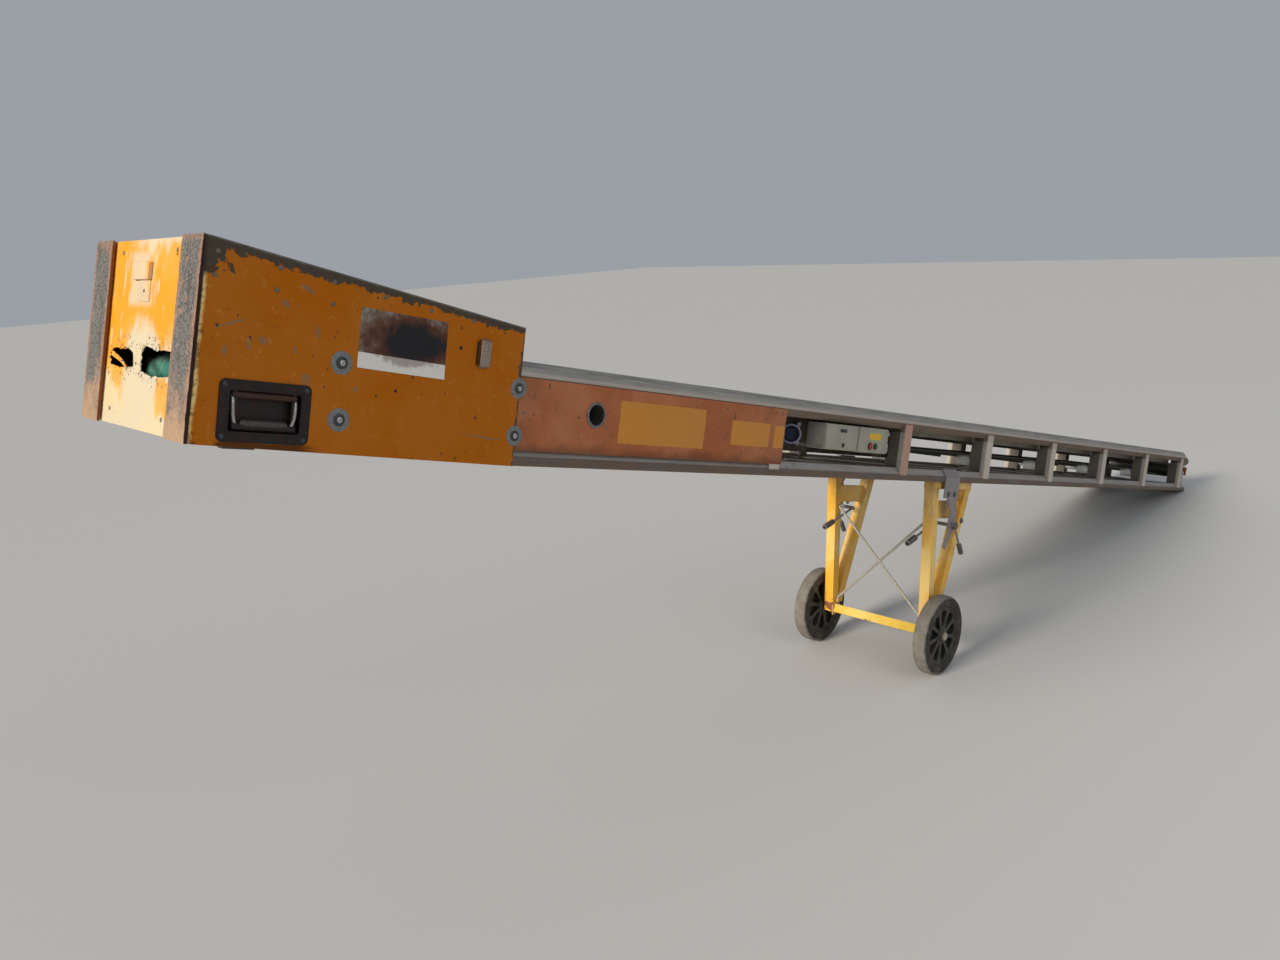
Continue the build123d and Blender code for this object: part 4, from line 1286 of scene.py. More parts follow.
@dataclass(frozen=True)
class StripWood(Finish):
    """Weathered bump strips: grey speckled faces, reddish at the edges, foot and in knocks."""

    red: Colour = (0.30, 0.155, 0.10)
    pale: Colour = (0.26, 0.245, 0.225)
    middle: float = 0.211
    half: float = 0.045

    def lay(self, g: Graph, place: Wire) -> Layers:
        """Grey with speckles, mixed to red by the distance from the strip's middle line and by height.

        Formula: the distance is the absolute of |y| less the middle line's y, over half the width.

        Args:
            g: the material's graph.
            place: deck coordinates of the surface.

        Returns:
            Colour, roughness and height.
        """
        _, y, n = g.parts(place)
        long = g.noise(g.stretch(place, (1.0, 1.0, 0.16)), 60.0, 6.0, 0.7)
        speck = g.noise(place, 210.0, 4.0, 0.72)
        cloud = g.noise(place, 17.0, 6.0, 0.65)
        tone = g.mix(g.step(speck, 0.38, 0.68), self.colour, self.pale)
        tone = g.mix(g.step(long, 0.52, 0.66) * 0.55, tone, (0.05, 0.045, 0.04))
        off = abs(abs(y) - self.middle) / self.half
        edge = g.step((cloud - 0.5) * 0.9 + off, 0.62, 0.95)
        foot = g.step((cloud - 0.5) * -0.3 + n, 0.13, 0.02)
        top = g.step((cloud - 0.5) * 0.1 + n, 0.355, 0.372)
        knocks = g.step(g.noise(place, 33.0, 3.0), 0.63, 0.7)
        red = g.most(edge * 0.85, foot * 0.75, top * 0.6, knocks * 0.7)
        tone = g.mix(red, tone, g.mix(g.step(speck, 0.4, 0.66), self.red, (0.42, 0.27, 0.19)))
        tone = g.mix(foot * 0.5, tone, (0.6, 0.4, 0.24))
        # Side faces brown: dark on the right strip as painted shade, lighter brown-orange on the left one as
        # painted light.
        faces = g.parts(g.add("ShaderNodeNewGeometry").outputs["Normal"])
        side = g.step(abs(faces[1]), 0.5, 0.8)
        brown = g.mix(g.step(y, 0.0, 0.1), (0.028, 0.009, 0.005), (0.20, 0.065, 0.022))
        tone = g.mix(side, tone, brown)
        height = long * 0.7 + speck * 0.5
        return (tone, speck * 0.15 + (self.rough - 0.05), height)


@dataclass(frozen=True)
class BeltRubber(Finish):
    """Petrol-green belt: a fine cloth print, long scuffs from the load and pale dust in its grain."""

    scuff: Colour = (0.33, 0.42, 0.37)

    def lay(self, g: Graph, place: Wire) -> Layers:
        """Green rubber; the print is the product of two waves, the scuffs are noise stretched along s.

        Args:
            g: the material's graph.
            place: deck coordinates of the surface.

        Returns:
            Colour, roughness and height.
        """
        s, y, n = g.parts(place)
        lines = g.noise(g.stretch(place, (0.35, 9.0, 1.0)), 12.0, 6.0, 0.66)
        cloud = g.noise(place, 6.0, 5.0, 0.6)
        waves = [g.math("SINE", axis * 3100.0) for axis in (s, y)]
        print_ = waves[0] * waves[1]
        tone = g.mix(g.step(cloud, 0.35, 0.68), shade(self.colour, 0.55), self.colour)
        tone = g.mix(g.step(lines, 0.5, 0.7) * 0.65, tone, self.scuff)
        centre = g.step(abs(y), 0.13, 0.05)
        mud = g.patches(place, 13.0, 0.42, 0.25)
        tone = g.mix(mud * 0.7 * (centre * 0.5 + 0.5), tone, (0.26, 0.23, 0.19))
        # Darker on the return run and on the belt's edges under the skirts.
        hidden = g.most(g.step(n, 0.15, 0.12), g.step(abs(y), 0.153, 0.1546))
        darker_return_and_edges = hidden * g.step(s, 0.2, 0.5) * g.step(cloud, 0.2, 0.5, 0.75, 0.97)
        tone = g.mix(darker_return_and_edges, tone, (0.052, 0.044, 0.034))
        rough = lines * 0.2 + (self.rough - 0.08)
        return (tone, rough, print_ * 0.18 + mud * 0.5)


@dataclass(frozen=True)
class TyreRubber(Finish):
    """Solid tyre: its tread worn dusty grey, its walls dark with dust rubbed into them."""

    tread: Colour = (0.24, 0.215, 0.18)
    def lay(self, g: Graph, place: Wire) -> Layers:
        """Tread where the distance from the axle nears the outer radius, from 12 mm less on, walls elsewhere.

        Formula: the distance is the root of the squares of the two coordinates across the axle.

        Args:
            g: the material's graph.
            place: deck coordinates of the surface.

        Returns:
            Colour, roughness and height.
        """
        x, _, z = g.parts(place)
        far = g.math("SQRT", x * x + z * z)
        cloud = g.noise(place, 26.0, 6.0, 0.66)
        grit = g.noise(place, 300.0, 4.0, 0.7)
        worn = g.step((cloud - 0.5) * 0.012 + far, WHEEL_R - 0.012, WHEEL_R - 0.004)
        wall = g.mix(g.step(cloud, 0.42, 0.8) * 0.22, self.colour, self.dust)
        tread = g.mix(g.step(cloud, 0.35, 0.7), shade(self.tread, 0.75), self.tread)
        tone = g.mix(worn, wall, tread)
        tone = g.mix(g.step(grit, 0.6, 0.75) * 0.16, tone, (0.36, 0.32, 0.26))
        nicks = g.step(g.noise(g.stretch(place, (1, 3, 1)), 70.0, 4.0, 0.6), 0.64, 0.7)
        height = grit * 0.5 + nicks * -0.8
        return (tone, grit * 0.1 + self.rough, height)


@dataclass(frozen=True)
class HubPlastic(Finish):
    """Moulded hub: pockets near black as painted shade, and dust rubbed off the ribs and the rim."""

    face: float = 0.0176

    def lay(self, g: Graph, place: Wire) -> Layers:
        """Near black as painted shade where the distance from the wheel's middle plane is under the ribs'
        face, lighter on it.

        Args:
            g: the material's graph.
            place: deck coordinates of the surface.

        Returns:
            Colour, roughness and height.
        """
        deep = g.step(abs(g.parts(place)[1]), self.face - 0.0012, self.face - 0.009)
        cloud = g.noise(place, 30.0, 5.0, 0.65)
        grain = g.noise(place, 340.0, 3.0, 0.6)
        tone = g.mix(g.step(cloud, 0.3, 0.7), shade(self.colour, 0.7), shade(self.colour, 1.5))
        tone = g.mix(g.step(grain, 0.55, 0.8) * 0.25, tone, self.dust)
        # Painted shade: the pockets near black.
        tone = g.mix(deep * 0.86, tone, (0.004, 0.004, 0.004))
        return (tone, cloud * 0.25 + (self.rough - 0.1), grain)


@dataclass(frozen=True)
class SteelSheet(Finish):
    """Galvanised or plated sheet: soft spangle, brown stains and rubbed lines along s."""

    stain: Colour = (0.13, 0.075, 0.04)
    stain_cover: float = 0.5

    def lay(self, g: Graph, place: Wire) -> Layers:
        """Spangle from cells, stains from patches and rubbed lines from stretched noise.

        Args:
            g: the material's graph.
            place: deck coordinates of the surface.

        Returns:
            Colour, roughness and height.
        """
        cells = g.add("ShaderNodeTexVoronoi", {"Vector": place, "Scale": 95.0, "Randomness": 1.0})
        spangle = Wire(g, g.add("ShaderNodeSeparateColor", {0: cells.outputs["Color"]}).outputs[0])
        tone = g.mix(spangle * 0.5, self.colour, shade(self.colour, 1.45))
        stain = g.patches(place, 11.0, self.stain_cover, 0.25)
        tone = g.mix(stain * 0.75, tone, self.stain)
        rub = g.scratches(g.stretch(place, (0.4, 2.0, 2.0)), 26.0, 0.008)
        tone = g.mix(rub * 0.55, tone, (0.5, 0.49, 0.47))
        rough = (stain * 0.3 + (spangle * 0.1 + self.rough)).held()
        height = stain * 0.5 + g.noise(place, 260.0) * 0.35
        return tone, rough, height


@dataclass(frozen=True)
class WornSteel(Finish):
    """Small steel parts: dull metal with dark pits and rust in the hollows."""

    rust: Colour = (0.15, 0.055, 0.02)
    rust_cover: float = 0.4

    def lay(self, g: Graph, place: Wire) -> Layers:
        """Metal grain with rust patches of hand size.

        Args:
            g: the material's graph.
            place: deck coordinates of the surface.

        Returns:
            Colour, roughness and height.
        """
        grain = g.noise(place, 240.0, 4.0, 0.7)
        tone = g.mix(g.step(grain, 0.35, 0.7), shade(self.colour, 0.55), self.colour)
        rust = g.patches(place, 48.0, self.rust_cover, 0.2)
        tone = g.mix(rust * 0.85, tone, self.rust)
        rough = (rust * 0.35 + self.rough).held()
        return (tone, rough, rust * 0.5 + grain)


@dataclass(frozen=True)
class BurntSticker(Finish):
    """The blank sticker: its upper part scorched brown and black over grey, its lower strip white."""

    def lay(self, g: Graph, place: Wire) -> Layers:
        """A dark cloud round the middle of the upper part, brown at its rim, and a clean lower strip.

        Formula: the cloud is the distance from its middle over its half sizes, moved by noise.

        Args:
            g: the material's graph.
            place: deck coordinates of the surface.

        Returns:
            Colour, roughness and height.
        """
        s, _, n = g.parts(place)
        ragged = g.noise(place, 30.0, 6.0, 0.68) - 0.5
        drips = g.noise(g.stretch(place, (1, 1, 0.2)), 55.0, 4.0) - 0.5
        a = (s - 0.418) / 0.115
        b = (n - 0.238) / 0.058
        far = ragged * 1.1 + (drips * 0.4 + g.math("SQRT", a * a + b * b))
        grey = g.mix(g.step(g.noise(place, 90.0, 5.0), 0.35, 0.7), (0.16, 0.13, 0.10), (0.32, 0.30, 0.26))
        brown = g.mix(g.step(far, 1.35, 0.75), grey, (0.10, 0.028, 0.008))
        dark = g.mix(g.step(far, 0.92, 0.45), brown, (0.006, 0.005, 0.008))
        strip = g.step(s * 0.028 + n, 0.2182, 0.2172)
        white = g.mix(g.step(g.noise(place, 70.0, 5.0), 0.55, 0.85, 0.0, 0.5), self.colour,
                (0.42, 0.4, 0.36))
        white = g.mix(g.step(far, 0.95, 0.7) * 0.6, white, (0.16, 0.10, 0.07))
        return (g.mix(strip, dark, white), self.rough, ragged * 0.6)


@dataclass(frozen=True)
class BlankLabel(Finish):
    """A blank printed label: faded, rubbed through at its edges and mottled."""

    under: Colour = (0.3, 0.12, 0.06)
    cover: float = 0.35

    def lay(self, g: Graph, place: Wire) -> Layers:
        """Faded print with the paint below showing in rubbed patches.

        Args:
            g: the material's graph.
            place: deck coordinates of the surface.

        Returns:
            Colour, roughness and height.
        """
        rubbed = g.patches(place, 26.0, self.cover, 0.3)
        fine = g.noise(place, 240.0, 3.0)
        tone = g.mix(rubbed * 0.8, self.colour, self.under)
        tone = g.mix(g.step(fine, 0.55, 0.75) * 0.3, tone, self.under)
        return (tone, rubbed * 0.2 + self.rough, rubbed)


# The hopper sides' orange is the rear plate's yellow-orange paint darkened as painted shade; their faded tone
# also serves as the painted highlight on the rear fold.
HOPPER_RIGHT = HopperPaint("hopper paint right", srgb(178, 97, 0), rough=0.42, faded=srgb(255, 226, 150),
        fade=0.03, chip_cover=0.16, gloss=0.1, dusty=0.02, bare=(0.075, 0.066, 0.052),
        rust=(0.085, 0.04, 0.018), grime=srgb(84, 66, 50), ovals=((0.147, 0.277, 0.011, 0.006, -40),
        (0.212, 0.234, 0.005, 0.012, 5), (0.109, 0.208, 0.008, 0.007, 0), (0.086, 0.197, 0.004, 0.01, 12),
        (0.172, 0.196, 0.005, 0.008, 10), (0.043, 0.183, 0.005, 0.009, 0), (0.197, 0.146, 0.009, 0.011, 0),
        (0.187, 0.31, 0.012, 0.005, -20), (0.05, 0.231, 0.03, 0.0016, 25), (0.3, 0.137, 0.008, 0.006, 0),
        (0.612, 0.0605, 0.055, 0.0016, -3)))
HOPPER_LEFT = replace(HOPPER_RIGHT, name="hopper paint left", chip_cover=0.17, ovals=(
    (0.11, 0.25, 0.012, 0.006, 30), (0.26, 0.25, 0.006, 0.013, 0), (0.4, 0.12, 0.03, 0.002, 12),
    (0.52, 0.22, 0.01, 0.007, 0), (0.6, 0.16, 0.02, 0.002, -30), (0.33, 0.19, 0.007, 0.01, 20)))
END_PAINT = EndPaint("rear plate paint", srgb(246, 160, 2), rough=0.45, faded=srgb(248, 214, 140), fade=0.35,
                     chip_cover=0.13, chip_scale=70.0, stain_cover=0.1, dusty=0.1)
STAND_PAINT = StandPaint("stand paint", srgb(246, 182, 44), rough=0.34, gloss=0.6,
        faded=srgb(254, 228, 156), fade=0.62, bare=srgb(146, 88, 48), chip_cover=0.25, chip_scale=95.0,
        rust=srgb(128, 62, 24), stain_cover=0.25, dusty=0.1)
AXLE_PAINT = AxlePaint("axle paint", srgb(226, 182, 40), rough=0.45, faded=srgb(250, 224, 140), fade=0.55,
        chip_cover=0.1, chip_scale=80.0, rust=srgb(128, 62, 24), stain_cover=0.15, dusty=0.15,
        foot_rust=0.04)
PANEL_PAINT = PanelPaint("panel paint", srgb(168, 96, 58), rough=0.6, gloss=0.2, faded=srgb(205, 140, 100),
        fade=0.4, chip_cover=0.12, chip_scale=50.0, stain_cover=0.3, grime=srgb(96, 60, 38), dusty=0.15)
RAIL = RailMetal("rail aluminium", srgb(172, 168, 162), rough=0.55, metal=0.3, relief=0.0004, dusty=0.25,
                 dirt=srgb(84, 68, 56), dirt_cover=0.42)
POST = PostMetal("post aluminium", srgb(196, 188, 174), rough=0.6, metal=0.15, relief=0.0004, dusty=0.3,
                 dirt_cover=0.4)
STRIP = StripWood("bump strip", srgb(82, 80, 79), rough=0.85, relief=0.0014, dusty=0.06)
BELT = BeltRubber("belt rubber", srgb(62, 148, 132), rough=0.66, relief=0.0004, dusty=0.35)
SKIRT = SteelSheet("skirt sheet", srgb(120, 116, 108), rough=0.5, metal=0.5, dusty=0.45)
LINER = SteelSheet("liner sheet", srgb(104, 92, 78), rough=0.6, metal=0.3, dusty=0.5, stain_cover=0.65)
PLATED = SteelSheet("plated strap", srgb(140, 134, 136), rough=0.5, metal=0.3, dusty=0.25, stain_cover=0.35)
ROD = WornSteel("plated rod", srgb(206, 200, 184), rough=0.5, metal=0.2, dusty=0.15, rust_cover=0.22)
STEEL = WornSteel("dull steel", srgb(142, 138, 132), rough=0.42, metal=0.75, dusty=0.25, rust_cover=0.3)
BRIGHT = WornSteel("bright bolt", srgb(196, 194, 188), rough=0.32, metal=0.85, dusty=0.12, rust_cover=0.12)
WASHER = WornSteel("grey washer", srgb(142, 143, 143), rough=0.5, metal=0.45, dusty=0.15, rust_cover=0.22)
DARK_WASHER = WornSteel("dark washer", srgb(74, 78, 84), rough=0.5, metal=0.4, dusty=0.1, rust_cover=0.3)
RUSTY = WornSteel("rusty steel", srgb(120, 62, 34), rough=0.75, metal=0.2, dusty=0.1, rust_cover=0.75,
                  rust=srgb(150, 74, 34))
DISH = WornSteel("handle dish", srgb(42, 35, 34), rough=0.42, metal=0.3, dusty=0.04, rust_cover=0.52,
                 rust=srgb(74, 36, 26))
PIVOT = WornSteel("handle pivot", srgb(74, 46, 36), rough=0.5, metal=0.2, dusty=0.1, rust_cover=0.5,
                  rust=srgb(96, 50, 34))
GRIP = WornSteel("handle grip", srgb(86, 80, 74), rough=0.38, metal=0.3, dusty=0.15, rust_cover=0.3,
                 rust=srgb(60, 44, 36))
DULL = WornSteel("dull rivet", srgb(128, 118, 104), rough=0.5, metal=0.4, dusty=0.15, rust_cover=0.4)
BACK_PLATE = SteelSheet("plate behind the boxes", srgb(58, 50, 42), rough=0.7, metal=0.2, dusty=0.15,
        gloss=0.15, stain=srgb(38, 28, 20), stain_cover=0.6)
# Black: the lever grips' own colour, and painted shade in holes, gaps and under a screw.
BLACK_AND_SHADE = Finish("black grip and painted shade", srgb(34, 33, 32), rough=0.55, dusty=0.2, relief=0.0003)
NYLON = Finish("white nylon", srgb(236, 236, 228), rough=0.42, dusty=0.18, relief=0.0002)
ENCLOSURE = Finish("enclosure plastic", srgb(166, 163, 146), rough=0.5, mottle=0.84, dusty=0.2, relief=0.0002)
DARK_PLASTIC = Finish("dark plastic", srgb(42, 42, 44), rough=0.4, dusty=0.15, relief=0.0002)
INLET_BLUE = Finish("inlet plastic", srgb(38, 46, 84), rough=0.4, dusty=0.15, relief=0.0002)
INLET_RING = Finish("inlet ring", srgb(150, 142, 166), rough=0.45, dusty=0.15, relief=0.0002)
RED_PLASTIC = Finish("red button", srgb(168, 40, 38), rough=0.4, dusty=0.15, relief=0.0002)
GREEN_PLASTIC = Finish("green button", srgb(34, 74, 46), rough=0.4, dusty=0.15, relief=0.0002)
BRASS = WornSteel("brass coloured end", srgb(206, 188, 156), rough=0.45, metal=0.25, dusty=0.1,
        rust_cover=0.15)
STICKER = BurntSticker("burnt sticker", srgb(226, 222, 212), rough=0.6, dusty=0.05, relief=0.0002)
PANEL_LABEL = BlankLabel("panel label", srgb(206, 136, 48), rough=0.55, dusty=0.12, relief=0.0001)
SMALL_LABEL = BlankLabel("small label", srgb(226, 178, 40), rough=0.5, dusty=0.1, relief=0.0001, cover=0.15,
                         under=srgb(120, 86, 40))
STRAP = WornSteel("strap bracket steel", srgb(176, 158, 142), rough=0.38, metal=0.6, dusty=0.1,
        rust_cover=0.3, rust=srgb(140, 92, 62))
FOOT_RUST = WornSteel("rusty foot", srgb(238, 186, 128), rough=0.7, metal=0.1, dusty=0.05, rust_cover=0.4,
                      rust=srgb(186, 108, 56))


def wheel_finishes(side: Side) -> tuple[Finish, Finish]:
    """Tyre and hub finishes centred on one wheel.

    Args:
        side: which wheel.

    Returns:
        The tyre's and the hub's finish.
    """
    centre = tuple(float(x) for x in DECK.world(AXLE_S, side.value * WHEEL_Y, AXLE_N))
    tyre = TyreRubber(f"tyre rubber {side.name.lower()}", srgb(58, 54, 51), rough=0.78, relief=0.0006,
            dusty=0.1, centre=centre)
    hub = HubPlastic(f"hub plastic {side.name.lower()}", srgb(60, 58, 54), rough=0.42, relief=0.0003,
            dusty=0.2, centre=centre)
    return tyre, hub


# The hopper.


@dataclass(frozen=True)
class Hopper:
    """The hopper's small parts: bolts, rivets, strap bracket, blank sticker and handle trim."""

    bolts: tuple[tuple[float, float], ...] = ((0.266, 0.184), (0.270, 0.076), (0.700, 0.173), (0.700, 0.068))
    rivets: tuple[tuple[float, float], ...] = (
        (0.019, 0.348), (0.016, 0.308), (0.132, 0.339), (0.128, 0.299), (0.238, 0.331), (0.238, 0.290),
        (0.348, 0.320), (0.455, 0.309), (0.562, 0.303))
    sticker: tuple[tuple[float, float], ...] = ((0.298, 0.179), (0.5, 0.174), (0.498, 0.291),
            (0.299, 0.294))
    handle_from: tuple[float, float] = (0.038, 0.024)
    handle_to: tuple[float, float] = (0.210, 0.135)

    def fixings(self, side: Side) -> None:
        """Four bolts with wide rubber-backed washers and a row of rivets under the upper edge.

        Args:
            side: which side of the conveyor.
        """
        name = side.name.lower()
        heads, washers = Stock(f"hopper_bolts_{name}"), Stock(f"hopper_washers_{name}")
        rivets, inner = Stock(f"hopper_rivets_{name}"), Stock(f"hopper_inner_washers_{name}")
        for number, (s, n) in enumerate(self.bolts):
            seat = DECK.side_seat(s, PLATE_Y, n, side)
            washers.turned([(0, 0), (0.0225, 0), (0.0225, 0.0004), (0.0205, 0.001), (0.0135, 0.0014),
                    (0.0, 0.0014)], seat, 40)
            inner.turned([(0, 0), (0.0122, 0), (0.0122, 0.0007), (0.0112, 0.0013), (0, 0.0013)],
                         seat.shifted(out=0.0010), 32)
            Bolt(0.0064, 0.0028, 0.0, 0.0).add(heads, seat.shifted(out=0.0022), 0.4 * number)
        for s, n in self.rivets:
            Rivet(0.0048, 0.0022).add(rivets, DECK.side_seat(s, PLATE_Y, n, side))
        washers.object(WASHER, Slot.PAINT)
        inner.object(DARK_WASHER, Slot.PAINT)
        heads.object(BRIGHT, Slot.PAINT)
        rivets.object(DULL, Slot.PAINT)

    def sticker_sheet(self) -> None:
        """A blank sticker on the right side, its corners lifting a little from the paint.

        Formula: the sheet's points mix the four corners, and stand out by the eighth powers of the two
        distances from the middle.
        """
        u, v = np.meshgrid(np.linspace(0, 1, 25), np.linspace(0, 1, 17), indexing="ij")
        a, b, c, d = (np.array(corner) for corner in self.sticker)
        flat = ((1 - u)[..., None] * (1 - v)[..., None] * a + u[..., None] * (1 - v)[..., None] * b
                + u[..., None] * v[..., None] * c + (1 - u)[..., None] * v[..., None] * d)
        wave = (0.0004 + 0.0011 * (np.abs(2 * u - 1) ** 8 * np.abs(2 * v - 1) ** 8)
                + 0.0002 * np.sin(9 * u + 7 * v))
        points = DECK.world(flat[..., 0], -(PLATE_Y + wave), flat[..., 1])
        back = DECK.world(flat[..., 0], -(PLATE_Y + wave - 0.0003), flat[..., 1])
        stock = Stock("blank_sticker")
        shell = np.stack([np.concatenate([back[0], back[1:, -1], back[-1, -2::-1], back[-2:0:-1, 0]]),
                np.concatenate([points[0], points[1:, -1], points[-1, -2::-1], points[-2:0:-1, 0]])])
        stock.grid(points).grid(back[::-1]).grid(shell, wrap_second=True)
        stock.object(STICKER, Slot.PAINT, smooth=60.0)

    def bracket(self) -> None:
        """A bent strap bracket that stands off the side; a black strip along its rear edge and black discs
        for three holes, black as painted shade.

        Formula: a flat strip carried up a path whose distance from the side rises from nothing to 8 mm
        and falls again, each time along a quarter of a sine.
        """
        stock = Stock("strap_bracket")
        seat = DECK.side_seat(0.594, PLATE_Y, 0.238)
        way = np.linspace(-1.0, 1.0, 33)
        off = 0.0012 + 0.0078 * np.sin(np.clip((1 - np.abs(way)) / 0.22, 0, 1) * math.pi / 2) ** 0.8
        path = seat.put(np.stack([np.zeros(33), 0.030 * way, off], -1))
        strip = rounded_outline(0.027, 0.0024, 0.0009, 2)
        stock.carried(path, strip, seat.out, 1 - 0.06 * np.abs(way) ** 6)
        stock.object(STRAP, Slot.PAINT)
        # Painted shade: a black strip along the bracket's rear edge and black discs for three holes.
        dark = Stock("bracket_slot_and_hole")
        dark.plate(rounded_outline(0.005, 0.050, 0.0016), seat.shifted(-0.0155, 0.0, 0.0), 0.0003, 0.0001)
        for s, n, radius in ((0.535, 0.243, 0.0042), (0.388, 0.141, 0.0034), (0.345, 0.128, 0.0022)):
            dark.turned([(0, 0), (radius, 0), (radius * 0.94, 0.0003), (0, 0.0002)],
                    DECK.side_seat(s, PLATE_Y, n), 16)
        dark.object(BLACK_AND_SHADE, Slot.PAINT)

    def handle_plate(self, seat: Seat, name: str) -> None:
        """The handle's two rolled lips, as round beads on rounded rings, and its four corner rivets.

        Args:
            seat: middle of the handle.
            name: of the side.
        """
        (s0, n0), (s1, n1) = self.handle_from, self.handle_to
        lip = Stock(f"handle_lip_{name}")
        for width, height, radius, high, bead in ((s1 - s0 - 0.003, n1 - n0 - 0.003, 0.011, 0.0016, 0.0012),
                                                  (0.141, 0.080, 0.008, 0.0014, 0.0015)):
            ring = rounded_outline(width, height, radius, 6)
            path = np.concatenate([ring, ring[:1]])
            points = seat.put(np.column_stack([path, np.full(len(path), high)]))
            lip.carried(points, round_profile(bead, 8), seat.out)
        lip.object(DISH, Slot.DARK)
        rivets = Stock(f"handle_rivets_{name}")
        for a in (-1, 1):
            for b in (-1, 1):
                Rivet(0.0050, 0.0024).add(rivets, seat.shifted(a * 0.0765, b * 0.046, 0.0019))
        rivets.object(DARK_WASHER, Slot.DARK)

    def handle_bail(self, seat: Seat, name: str) -> None:
        """The wire bail's two bent arms, its grip and the rusty tube that it turns in.

        Formula: the grip's size falls by the tenth power of the distance from its middle and swells by a
        cosine along it.

        Args:
            seat: middle of the handle.
            name: of the side.
        """
        bail = Stock(f"handle_bail_{name}")
        arm = np.array([[0.058, 0.028, -0.009], [0.0585, 0.02, -0.0045], [0.058, 0.005, -0.0028],
                        [0.0565, -0.01, -0.003], [0.052, -0.0225, -0.0045], [0.044, -0.0275, -0.006],
                        [0.034, -0.028, -0.0062]])
        for hand in (-1, 1):
            curve = smooth_path(arm * np.array([hand, 1, 1]), 30)
            bail.carried(seat.put(curve), round_profile(0.0036, 10), seat.out)
        bail.object(BRIGHT, Slot.DARK)
        grip = Stock(f"handle_grip_{name}")
        way = np.linspace(0, 1, 33)
        path = seat.put(np.stack([-0.044 + 0.088 * way, np.full(33, -0.0225), np.full(33, -0.0062)], -1))
        size = 1 - 0.25 * np.abs(2 * way - 1) ** 10 + 0.03 * np.cos(way * TAU * 8)
        grip.carried(path, round_profile(0.0083, 16), seat.out, size)
        grip.object(GRIP, Slot.DARK)
        roll = Stock(f"handle_pivot_{name}")
        path = seat.put(np.stack([np.linspace(-0.060, 0.060, 9), np.full(9, 0.029), np.full(9, -0.0085)], -1))
        roll.carried(path, round_profile(0.0070, 16), seat.out)
        roll.object(PIVOT, Slot.DARK)

    def handle(self, side: Side) -> None:
        """The handle's trim, round the middle of its opening.

        Args:
            side: which side of the conveyor.
        """
        (s0, n0), (s1, n1) = self.handle_from, self.handle_to
        seat = DECK.side_seat((s0 + s1) / 2, PLATE_Y, (n0 + n1) / 2, side)
        self.handle_plate(seat, side.name.lower())
        self.handle_bail(seat, side.name.lower())

    def build(self) -> None:
        """Makes the trim of both sides."""
        for side in Side:
            self.fixings(side)
            self.handle(side)
        self.sticker_sheet()
        self.bracket()


